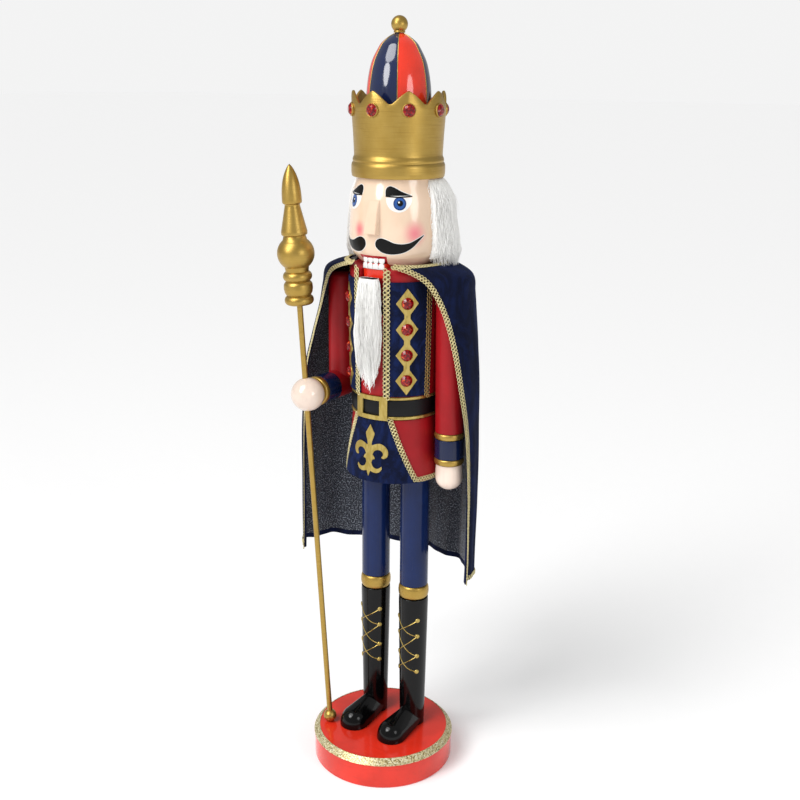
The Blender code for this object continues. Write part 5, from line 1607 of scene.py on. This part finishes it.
BEADS = [(0.0080, 0.5468)] + bead(0.0171, 0.5468, 0.5580) + [
    (0.0146, 0.5586), (0.0160, 0.5612), (0.0170, 0.5660), (0.0167, 0.5712), (0.0148, 0.5740)
]
BARREL = bead(0.0170, 0.5745, 0.5862)
ROUND = [(0.0217 * cos(t), 0.6068 + 0.0206 * sin(t)) for t in (-0.86 + 1.72 * i / 16 for i in range(17))]
CONE = [
    (0.0128, 0.6274), (0.0150, 0.6285), (0.0152, 0.6320), (0.0088, 0.6613), (0.0088, 0.6630), (0.0108, 0.6640),
    (0.0114, 0.6656)
]
BULLET = [(0.01135 * (1 - t**2.5) ** 0.82, 0.6660 + 0.0421 * t) for t in (i / 20 for i in range(1, 21))]
top_line = (
    eased([*BEADS, *BARREL], 0.0008, 3) + [Vector(p) for p in ROUND] + eased(CONE, 0.0008, 3)
    + [Vector(p) for p in BULLET]
)
turned("sceptre_head", top_line, GOLD, "gold_paint", 96, "sceptre", **sceptre)
turned("sceptre_rod", [(ROD_R, 0.002), (ROD_R, 0.5475)], GOLD, "gold_paint", 32, "sceptre", **sceptre)
q = half("sceptre_foot")
ball = [(q * cos(t), q * sin(t)) for t in (-pi / 2 + pi * i / 24 for i in range(25))]
ball[0], ball[-1] = (0, -q), (0, q)
turned("sceptre_foot", ball, GOLD, "gold_paint", 48, "sceptre", **sceptre)

# %% [markdown]
# ## Braid
# Gimp braid is a flat ribbon with a scroll of metal thread looped along it. Here the ribbon is a thin strip that
# follows a rail, and the loops are two rows of small thread rings that the row tree sets along the same rail.

# %% Braid


def stretch(rail, pitch):
    """Evenly spaced (place, outward, along) spots along a rail of (place, outward) pairs."""
    places = [p for p, _ in rail]
    run = [0.0]
    for a, b in zip(places, places[1:]):
        run.append(run[-1] + (b - a).length)
    count = max(2, round(run[-1] / pitch))
    made, k = [], 0
    for i in range(count + 1):
        want = run[-1] * i / count
        while k < len(run) - 2 and run[k + 1] < want:
            k += 1
        t = (want - run[k]) / max(run[k + 1] - run[k], 1e-9)
        place = places[k].lerp(places[k + 1], t)
        face = rail[k][1].lerp(rail[k + 1][1], t).normalized()
        ahead = places[k + 1] - places[k]
        made.append((place, face, (ahead - face * ahead.dot(face)).normalized()))
    return made


def ribbon(mesh, spots, width, thick, sink=0.0002):
    """Adds a flat strip along the spots."""
    rows = []
    for place, face, ahead in spots:
        side = face.cross(ahead) * (width / 2)
        foot, top = place - face * sink, place + face * thick
        rows.append([mesh.verts.new(p) for p in (foot - side, foot + side, top + side * 0.92, top - side * 0.92)])
    bridge(mesh, rows)


def braid(name, rails, width=0.0058, body="figure", finish=None):
    """Braid along each rail: a ribbon and its scroll of loops. Returns both pieces."""
    finish = finish or BRAID
    tape, loops = bmesh.new(), []
    pitch = width * 0.58
    for rail in rails:
        spots = stretch(rail, pitch)
        ribbon(tape, stretch(rail, 0.002), width * 0.42, 0.0004)
        for i, (place, face, ahead) in enumerate(spots):
            side = face.cross(ahead)
            for s in (-1, 1):
                shift = ahead * (pitch * 0.25 * s)
                loops.append((place + side * (s * width * 0.205) + shift + face * 0.0007, face, ahead))
    under = keep(name + "_tape", tape, body, BRAID_CORE, slot="gold_paint", angle=50)
    ring = torus(width * 0.222, width * 0.066, 12, 4, 1.1)
    over = settle(
        name + "_loops", set_along(loops, ring, finish, Size_variation=0.07, Turn_variation=0.3), body,
        angle=60
    )
    return [under, over]


def upright(angle, start, end, radius_at, lift):
    """A rail up the body at one angle."""
    return [
        (spot(angle, radius_at(z) + lift, z), outward(angle))
        for z in (start + (end - start) * i / 24 for i in range(25))
    ]


BRAID_DARK = metal_thread("braid_thread_copper", (0.50, 0.35, 0.13), (0.20, 0.115, 0.030))
for side, tag in ((1, "left"), (-1, "right")):
    top_z = SHOULDER - 0.0020
    braid(f"vest_braid_inner_{tag}", [upright(side * 21, BELT_TOP + 0.0006, top_z, chest_radius, 0.0016)], 0.0088)
    braid(
        f"vest_braid_outer_{tag}", [upright(side * 73, BELT_TOP + 0.0006, top_z, chest_radius, 0.0016)], 0.0082,
        finish=BRAID_DARK
    )

apron_rails = []
for side in (1, -1):
    rail = []
    for i in range(33):
        z = PANEL_HIGH + (PANEL_LOW + 0.0030 - PANEL_HIGH) * i / 32
        rail.append((spot(side * (panel_edge(z) - 1.0), skirt_radius(z) + 0.0016, z), outward(side * panel_edge(z))))
    apron_rails.append(rail)
HEM_BRAID = HEM + 0.0040
braid("apron_braid", apron_rails, 0.0074)
coat_hem = [
    (spot(a, skirt_radius(HEM_BRAID) + 0.0004, HEM_BRAID), outward(a))
    for a in (59 + 242 * i / 120 for i in range(121))
]
braid("coat_hem_braid", [coat_hem], 0.0070)

# %% [markdown]
# ## The cape
# A lined sheet of crushed velvet that ties at the neck and falls to the tops of the boots. It is one curved
# sheet, so it is built as one: its outline is known at ten heights, the heights are joined smoothly, and folds that
# deepen towards the hem push it in and out. The inside gets the lining and the edge is closed all round.

# %% Cape outline
CAPE_DROP = SHOULDER - low("cape")
NECK, LEFT, RIGHT, REAR, FORE, FULL = 0.0570, 0.0900, 0.0930, CHEST, 0.0550, 0.0600
TIE = cos(radians(27))
FOLDS, FOLD_DEPTH = 6.5, 0.0045
HEIGHTS = [
    (-0.0032, NECK, NECK, NECK, NECK, TIE, TIE),
    (0.0020, LEFT - 0.014, RIGHT - 0.014, REAR + 0.0125, FORE, 0.818, 0.818),
    (0.0110, LEFT + 0.002, RIGHT + 0.003, REAR + 0.0215, FORE - 0.001, 0.741, 0.741),
    (0.0300, LEFT + 0.004, RIGHT + 0.008, REAR + 0.0270, FORE - 0.002, 0.623, 0.642),
    (0.0560, LEFT + 0.006, RIGHT + 0.013, REAR + 0.0305, FORE - 0.002, 0.509, 0.547),
    (0.0950, LEFT + 0.0095, RIGHT + 0.025, REAR + 0.0325, FORE, 0.400, 0.455),
    (0.1401, LEFT + 0.0125, RIGHT + 0.037, REAR + 0.0310, FULL, 0.300, 0.417),
    (0.1998, LEFT + 0.0135, RIGHT + 0.043, REAR + 0.0260, FULL, 0.167, 0.417),
    (0.2699, LEFT + 0.0145, RIGHT + 0.045, REAR + 0.0210, FULL, 0.100, 0.417),
    (CAPE_DROP, LEFT + 0.0145, RIGHT + 0.047, REAR + 0.0120, FULL, 0.083, 0.417),
]


def outline_at(drop):
    """The cape's outline numbers at a drop below the shoulders, joined smoothly."""
    n = len(HEIGHTS)
    k = max(i for i in range(n - 1) if HEIGHTS[i][0] <= drop + 1e-9 or i == 0)
    a, b = HEIGHTS[k], HEIGHTS[k + 1]
    before, after = HEIGHTS[max(k - 1, 0)], HEIGHTS[min(k + 2, n - 1)]
    span = b[0] - a[0]
    t = min(1.0, max(0.0, (drop - a[0]) / span))
    made = []
    for i in range(1, 7):
        m0 = (b[i] - before[i]) / max(b[0] - before[0], 1e-6) * span
        m1 = (after[i] - a[i]) / max(after[0] - a[0], 1e-6) * span
        h = (2 * t**3 - 3 * t**2 + 1) * a[i] + (t**3 - 2 * t**2 + t) * m0
        made.append(h + (-2 * t**3 + 3 * t**2) * b[i] + (t**3 - t**2) * m1)
    return made


def cape_spot(share, drop):
    """A point on the cape: share runs round it from the near edge to the far edge."""
    left, right, rear, fore, near, far = outline_at(drop)
    start, end = -asin(min(1, near)), pi + asin(min(1, far))
    t = start + (end - start) * share
    x = (left if cos(t) > 0 else right) * cos(t)
    y = (rear if sin(t) > 0 else fore) * sin(t)
    away = Vector((cos(t), sin(t), 0))
    deep = FOLD_DEPTH * max(0.0, (drop - 0.02) / CAPE_DROP) ** 0.8
    wave = sin(2 * pi * FOLDS * share + 1.1 + 1.6 * drop / CAPE_DROP) + 0.35 * sin(2 * pi * 13.7 * share + 4 * drop)
    soft = noise.noise(Vector((share * 9, drop * 14, 0.7)))
    push = deep * (0.70 * wave - 0.10) + 0.0011 * soft * min(1, max(0, drop) / 0.03)
    lift = 0.0006 * deep / FOLD_DEPTH * sin(2 * pi * FOLDS * share + 2.4)
    return Vector((AXIS.x + x, AXIS.y + y, SHOULDER - drop + lift)) + away * push


# %% Cape sheet
COLUMNS, ROWS, CLOTH = 260, 150, 0.0009
drops = [HEIGHTS[0][0] + (CAPE_DROP - HEIGHTS[0][0]) * (i / ROWS) ** 1.25 for i in range(ROWS + 1)]
mid = [[cape_spot(c / COLUMNS, d) for c in range(COLUMNS + 1)] for d in drops]


def face_of(r, c):
    """The outward direction of the cape at a grid point."""
    across = mid[r][min(c + 1, COLUMNS)] - mid[r][max(c - 1, 0)]
    downward = mid[min(r + 1, ROWS)][c] - mid[max(r - 1, 0)][c]
    return downward.cross(across).normalized()


faces_out = [[face_of(r, c) for c in range(COLUMNS + 1)] for r in range(ROWS + 1)]
flip = 1 if faces_out[ROWS // 2][COLUMNS // 2].y > 0 else -1
faces_out = [[n * flip for n in row] for row in faces_out]
cape = bmesh.new()
cloth_map = cape.loops.layers.uv.new("cloth")
outer = [[cape.verts.new(mid[r][c] + faces_out[r][c] * CLOTH) for c in range(COLUMNS + 1)] for r in range(ROWS + 1)]
inner = [[cape.verts.new(mid[r][c] - faces_out[r][c] * CLOTH) for c in range(COLUMNS + 1)] for r in range(ROWS + 1)]
across = [[0.0] * (COLUMNS + 1) for _ in range(ROWS + 1)]
for r in range(ROWS + 1):
    for c in range(1, COLUMNS + 1):
        across[r][c] = across[r][c - 1] + (mid[r][c] - mid[r][c - 1]).length
area = 0.0
for r in range(ROWS):
    for c in range(COLUMNS):
        square = ((r, c), (r, c + 1), (r + 1, c + 1), (r + 1, c))
        for grid, index in ((outer, 0), (inner, 1)):
            made = cape.faces.new([grid[i][j] for i, j in (square if index == 0 else reversed(square))])
            near_edge = min(across[r][c], across[r][COLUMNS] - across[r][c], CAPE_DROP - drops[r]) < 0.009
            made.material_index = 0 if near_edge else index
            for loop, (i, j) in zip(made.loops, square if index == 0 else reversed(square)):
                loop[cloth_map].uv = (across[i][j] - across[i][COLUMNS] / 2, drops[i])
        area += (mid[r][c] - mid[r + 1][c]).cross(mid[r][c] - mid[r][c + 1]).length
rim = [(0, c) for c in range(COLUMNS)] + [(r, COLUMNS) for r in range(ROWS)]
rim += [(ROWS, c) for c in range(COLUMNS, 0, -1)] + [(r, 0) for r in range(ROWS, 0, -1)]
for (r, c), (i, j) in zip(rim, rim[1:] + rim[:1]):
    cape.faces.new((outer[r][c], inner[r][c], inner[i][j], outer[i][j]))
columns_long = [sum((mid[r + 1][c] - mid[r][c]).length for r in range(ROWS)) for c in range(COLUMNS + 1)]
CUT_WIDTH, CUT_LENGTH = max(row[-1] for row in across), max(columns_long)
cape_piece = keep("cape_cloth", cape, "figure", CAPE_VELVET, LINING, replaces=["cape"], slot="navy_velvet", angle=80)
print("cape area", round(area, 4), "hem", round(CUT_WIDTH, 3))

# %% Cape braid
INSET = 0.0022


def edge_rail(at_end):
    """The rail just inside one front edge of the cape."""
    rail = []
    for r in range(0, ROWS + 1, 2):
        share = min(0.2, INSET / max(across[r][COLUMNS], 1e-6))
        c = share * COLUMNS
        k = int(c)
        k, j = (COLUMNS - k, COLUMNS - k - 1) if at_end else (k, k + 1)
        place = mid[r][k].lerp(mid[r][j], c - int(c))
        rail.append((place + faces_out[r][k] * CLOTH, faces_out[r][k]))
    return rail


def level_rail(row_drop):
    """The rail round the cape at one drop."""
    r = min(range(ROWS + 1), key=lambda i: abs(drops[i] - row_drop))
    return [(mid[r][c] + faces_out[r][c] * CLOTH, faces_out[r][c]) for c in range(0, COLUMNS + 1, 2)]


trims = braid("cape_braid_edges", [edge_rail(False), edge_rail(True)], 0.0070)
trims += braid("cape_braid_hem", [level_rail(CAPE_DROP - INSET)], 0.0066)
trims += braid("cape_braid_neck", [level_rail(HEIGHTS[0][0] + 0.0008)], 0.0066)

# %% [markdown]
# ## Hair and beard
# Both are tufts of white fur fabric. Each has a soft solid core, so no light shows through, and thousands of strands
# that start on the core and follow its flow. Geometry Nodes scatters the roots, turns each strand along the flow
# that is stored on the core, tangles it a little, and shortens it near the tips.

# %% Strand tree


def strand_tree():
    wanted = {
        "Strand": ("Object", None),
        "Strands": ("Float", 1e5),
        "Size variation": ("Float", 0.3),
        "Tangle": ("Float", 0.2),
        "Seed": ("Int", 1),
        "Finish": ("Material", None),
    }
    t = Tree("grow_strands", **wanted)
    roots = t.add(
        "GeometryNodeDistributePointsOnFaces", {}, Mesh=t.asked("Geometry"), Density=t.asked("Strands"),
        Seed=t.asked("Seed")
    )
    flow = t.add("GeometryNodeInputNamedAttribute", {"data_type": "FLOAT_VECTOR"}, Name="flow")
    reach = t.add("GeometryNodeInputNamedAttribute", {"data_type": "FLOAT"}, Name="reach")
    stray = t.add("FunctionNodeRandomValue", {"data_type": "FLOAT_VECTOR"}, Seed=t.asked("Seed"))
    stray.inputs[0].default_value, stray.inputs[1].default_value = (-1, -1, -1), (1, 1, 1)
    swing = t.add("ShaderNodeVectorMath", {"operation": "SCALE"}, i0=stray.outputs[0], Scale=t.asked("Tangle"))
    aim = t.add("ShaderNodeVectorMath", {"operation": "ADD"}, i0=flow.outputs[0], i1=swing.outputs[0])
    lie = t.add("FunctionNodeAlignRotationToVector", {"axis": "Z"}, Vector=aim.outputs[0])
    roll = t.add(
        "FunctionNodeAlignRotationToVector", {"axis": "X", "pivot_axis": "Z"}, Rotation=lie.outputs[0],
        Vector=roots.outputs["Normal"]
    )
    size = t.add("FunctionNodeRandomValue", {"data_type": "FLOAT"}, Seed=t.asked("Seed"))
    small = t.add("ShaderNodeMath", {"operation": "SUBTRACT"}, i0=1.0, i1=t.asked("Size variation"))
    t.tree.links.new(small.outputs[0], size.inputs[2])
    size.inputs[3].default_value = 1.0
    tall = t.add("ShaderNodeMath", {"operation": "MULTIPLY"}, i0=size.outputs[1], i1=reach.outputs[0])
    scale = t.add("ShaderNodeCombineXYZ", {}, X=1.0, Y=1.0, Z=tall.outputs[0])
    t.copies(roots.outputs["Points"], "Strand", roll.outputs[0], scale.outputs[0])
    return t


STRANDS = strand_tree()


def strand(thick, wave, steps=7):
    """One tapered strand, a metre tall until its reach scales it, that waves a little."""
    mesh = bmesh.new()
    rows = []
    for i in range(steps):
        t = i / steps
        r = thick * (1 - t) ** 0.7 * (0.55 + 0.45 * min(1, t * 5))
        lean = wave * sin(pi * 1.5 * t)
        rows.append([mesh.verts.new((lean + r * cos(a), 0.6 * r * sin(a), t)) for a in (0, 2 * pi / 3, 4 * pi / 3)])
    tip = mesh.verts.new((wave * sin(pi * 1.5), 0, 1))
    for a, b in zip(rows, rows[1:]):
        for k in range(3):
            j = (k + 1) % 3
            mesh.faces.new((a[k], a[j], b[j], b[k]))
    for k in range(3):
        mesh.faces.new((rows[-1][k], rows[-1][(k + 1) % 3], tip))
    mesh.faces.new(list(reversed(rows[0])))
    return mesh


def furred(name, core, body, node, strands, thick, wave, tangle, seed):
    """Keeps a core and grows its strands. Both pieces stand for the node."""
    bmesh.ops.recalc_face_normals(core, faces=core.faces)
    roots = bpy.data.meshes.new("roots")
    core.to_mesh(roots)
    outside = bmesh.new()
    outside.from_mesh(roots)
    grows = outside.verts.layers.float["reach"]
    bmesh.ops.delete(
        outside, geom=[f for f in outside.faces if all(v[grows] < 0.005 for v in f.verts)], context="FACES"
    )
    outside.to_mesh(roots)
    outside.free()
    keep(name + "_core", core, body, FUR, replaces=[node], slot="white_fur", angle=80)
    pattern = linked("strand", plain("strand", strand(thick, wave)))
    made = STRANDS.grow(
        roots, Strand=pattern, Strands=strands, Size_variation=0.45, Tangle=tangle, Seed=seed, Finish=FUR
    )
    bpy.data.objects.remove(pattern)
    settle(name + "_strands", made, body, angle=80)


# %% Hair
HAIR_TOP, HAIR_FOOT = min(high("hair"), CROWN_FOOT) - 0.0006, SHOULDER + 0.0068
HAIR_FROM, HAIR_ROUND = 77, 206


def hair_core():
    """A shell round the back of the head, thin at the temples and full at the nape."""
    mesh = bmesh.new()
    flow = mesh.verts.layers.float_vector.new("flow")
    reach = mesh.verts.layers.float.new("reach")
    columns, rows = 72, 22
    sheets = {}
    for side in ("out", "in"):
        for c in range(columns + 1):
            share = c / columns
            angle = HAIR_FROM + HAIR_ROUND * share
            temple = min(1.0, 8 * min(share, 1 - share) + 0.12) ** 0.6
            hang = HAIR_FOOT + 0.003 * sin(9 * angle * pi / 180) + 0.006 * (1 - temple)
            for r in range(rows + 1):
                fall = r / rows
                z = HAIR_TOP + (hang - HAIR_TOP) * fall
                skin = head_radius(z) if z > HEAD_FOOT + 0.012 else head_radius(HEAD_FOOT + 0.012)
                tuft = 1 + 0.16 * noise.noise(Vector((angle * 0.11, z * 30, 2.0)))
                full = (
                    (0.0035 + 0.0060 * sin(min(1.0, fall * 5) * pi / 2) + 0.0095 * fall**3) * temple * tuft
                    * (1 - max(0, fall - 0.9) * 3)
                )
                lift = full if side == "out" else 0.0004
                v = mesh.verts.new(spot(angle, skin + max(lift, 0.0004 if side == "in" else 0.0012), z))
                v[flow] = (
                    (
                        outward(angle) * (0.34 - 0.28 * min(1, fall * 2.5) + 1.1 * max(0, fall - 0.72))
                        + Vector((0, 0, -1))
                    ).normalized()
                )
                v[reach] = 0.032 * max(0.50, min(1.0, (1 - fall) * 2.2)) if side == "out" else 0.004
                sheets[side, c, r] = v
    for c in range(columns):
        for r in range(rows):
            mesh.faces.new([sheets["out", i, j] for i, j in ((c, r), (c + 1, r), (c + 1, r + 1), (c, r + 1))])
            mesh.faces.new([sheets["in", i, j] for i, j in ((c, r), (c, r + 1), (c + 1, r + 1), (c + 1, r))])
    border = [(c, 0) for c in range(columns)] + [(columns, r) for r in range(rows)]
    border += [(c, rows) for c in range(columns, 0, -1)] + [(0, r) for r in range(rows, 0, -1)]
    for a, b in zip(border, border[1:] + border[:1]):
        mesh.faces.new((sheets["out", *a], sheets["in", *a], sheets["in", *b], sheets["out", *b]))
    return mesh


furred("hair", hair_core(), "figure", "hair", strands=1.85e5, thick=0.00046, wave=0.0022, tangle=0.15, seed=11)

# %% Beard
B0, B1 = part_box("beard")
BEARD_Y = (B0[1] + B1[1]) / 2
BEARD_HALF, BEARD_DEEP = (B1[0] - B0[0]) / 2, (B1[1] - B0[1]) / 2


def beard_core():
    """Five overlapping locks that share a root and part towards their tips."""
    mesh = bmesh.new()
    flow = mesh.verts.layers.float_vector.new("flow")
    reach = mesh.verts.layers.float.new("reach")
    tall = B1[2] - B0[2]
    locks = [
        (-0.46, -0.74, 0.90, 0.50), (0.46, 0.62, 0.86, 0.50), (0.05, 0.18, 0.99, 0.60), (-0.24, -0.34, 0.96, 0.50),
        (0.26, 0.46, 0.93, 0.50)
    ]
    for start, end, long, wide in locks:
        rings = []
        steps, sides = 30, 12
        for i in range(steps + 1):
            t = i / steps
            z = B1[2] - tall * long * t
            x = AXIS.x + BEARD_HALF * (start + (end - start) * t**1.5 + 0.06 * sin(5 * t + start * 9))
            full = (0.86 + 0.14 * min(1, t * 6)) * (1 - max(0, t - 0.45) / 0.56) ** 0.75 if t < 1 else 0.02
            y = BEARD_Y + BEARD_DEEP * 0.12 * sin(4 * t + end * 5)
            ring = []
            for k in range(sides):
                a = 2 * pi * k / sides
                v = mesh.verts.new(
                    (x + BEARD_HALF * wide * full * cos(a), y + BEARD_DEEP * 0.86 * max(full, 0.05) * sin(a), z)
                )
                v[flow] = Vector(((end - start) * 0.10 + 0.05 * cos(a), 0.05 * sin(a), -1)).normalized()
                v[reach] = 0.030 * max(0.26, min(1.0, (1 - t) * 3.0))
                ring.append(v)
            rings.append(ring)
        for a, b in zip(rings, rings[1:]):
            for k in range(sides):
                j = (k + 1) % sides
                mesh.faces.new((a[k], b[k], b[j], a[j]))
        mesh.faces.new(rings[0])
        mesh.faces.new(list(reversed(rings[-1])))
    return mesh


HINGE_START, HINGE_END = (AXIS.x, BEARD_Y, B1[2] - 0.001), (AXIS.x, BEARD_Y, B1[2] - 0.045)
hinge = ("jaw", "figure", HINGE_START, HINGE_END)
furred("beard", beard_core(), hinge, "beard", strands=1.4e5, thick=0.00045, wave=0.0012, tangle=0.06, seed=21)

# %% [markdown]
# ## Floor, light and camera
# A wide pale floor, a white surround, a broad soft key and a softbox from the front left, and a weaker fill. The surround is
# kept dimmer than the floor, because dark gloss mirrors whatever is round it.

# %% Studio


def floor():
    look = Look("floor_paper", Roughness=0.9, Emission_Color=(1, 1, 1), Emission_Strength=0.13)
    fibre = look.noise(look.here(), 40, 4)
    return look.wears(
        Base_Color=look.mix(fibre, (0.90, 0.90, 0.90), (0.93, 0.93, 0.93)), Normal=look.relief(fibre, 0.0001)
    )


ground = bmesh.new()
bmesh.ops.create_grid(ground, x_segments=2, y_segments=2, size=40)
ground_data = plain("floor", ground)
ground_data.materials.append(floor())
floor_object = linked("floor", ground_data)
floor_object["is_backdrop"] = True

world = bpy.data.worlds.new("surround")
world.use_nodes = True
sky = world.node_tree.nodes["Background"]
sky.inputs[0].default_value = (1, 1, 1, 1)
seen = world.node_tree.nodes.new("ShaderNodeLightPath")
level = world.node_tree.nodes.new("ShaderNodeMapRange")
LIT_BY, SEEN_AS = 0.42, 0.90
level.inputs["To Min"].default_value, level.inputs["To Max"].default_value = LIT_BY, SEEN_AS
world.node_tree.links.new(seen.outputs["Is Camera Ray"], level.inputs["Value"])
world.node_tree.links.new(level.outputs[0], sky.inputs[1])
bpy.context.scene.world = world


def light(name, kind, place, aim, power, size):
    data = bpy.data.lights.new(name, kind)
    data.energy = power
    if kind == "SUN":
        data.angle = size
    else:
        data.shape, data.size = "DISK", size
    made = linked(name, data)
    made.location = place
    made.rotation_euler = (Vector(aim) - Vector(place)).to_track_quat("-Z", "Y").to_euler()
    return made


MIDDLE = Vector((0, 0, (cad_box[0][2] + cad_box[1][2]) / 2))
light("key", "SUN", (-0.6, -1.6, 2.6), MIDDLE, power=1.75, size=radians(35))
light("softbox", "AREA", (-0.55, -1.75, 1.55), MIDDLE, power=14, size=0.8)
light("fill", "AREA", (1.9, -0.55, 1.1), MIDDLE, power=7, size=0.8)

lens = bpy.data.cameras.new("camera")
lens.lens, lens.sensor_width, lens.shift_x = 50, 36, 0.00475
lens.clip_start, lens.clip_end = 0.05, 200
camera = linked("camera", lens)
turn = Matrix.Rotation(radians(33), 4, "Z") @ Matrix.Rotation(radians(73.73), 4, "X") @ Matrix.Rotation(0.009, 4, "Z")
camera.matrix_world = Matrix.Translation((0.7076, -1.0654, 0.850)) @ turn
bpy.context.scene.camera = camera
bpy.context.scene.view_settings.view_transform = "Standard"

# %% Finish
bpy.context.view_layer.update()
final_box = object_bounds()
for axis_name, a, b, c, d in zip("xyz", cad_box[0], cad_box[1], final_box[0], final_box[1]):
    print(axis_name, "low", round((c - a) * 1000, 1), "high", round((d - b) * 1000, 1), "mm from the frame")
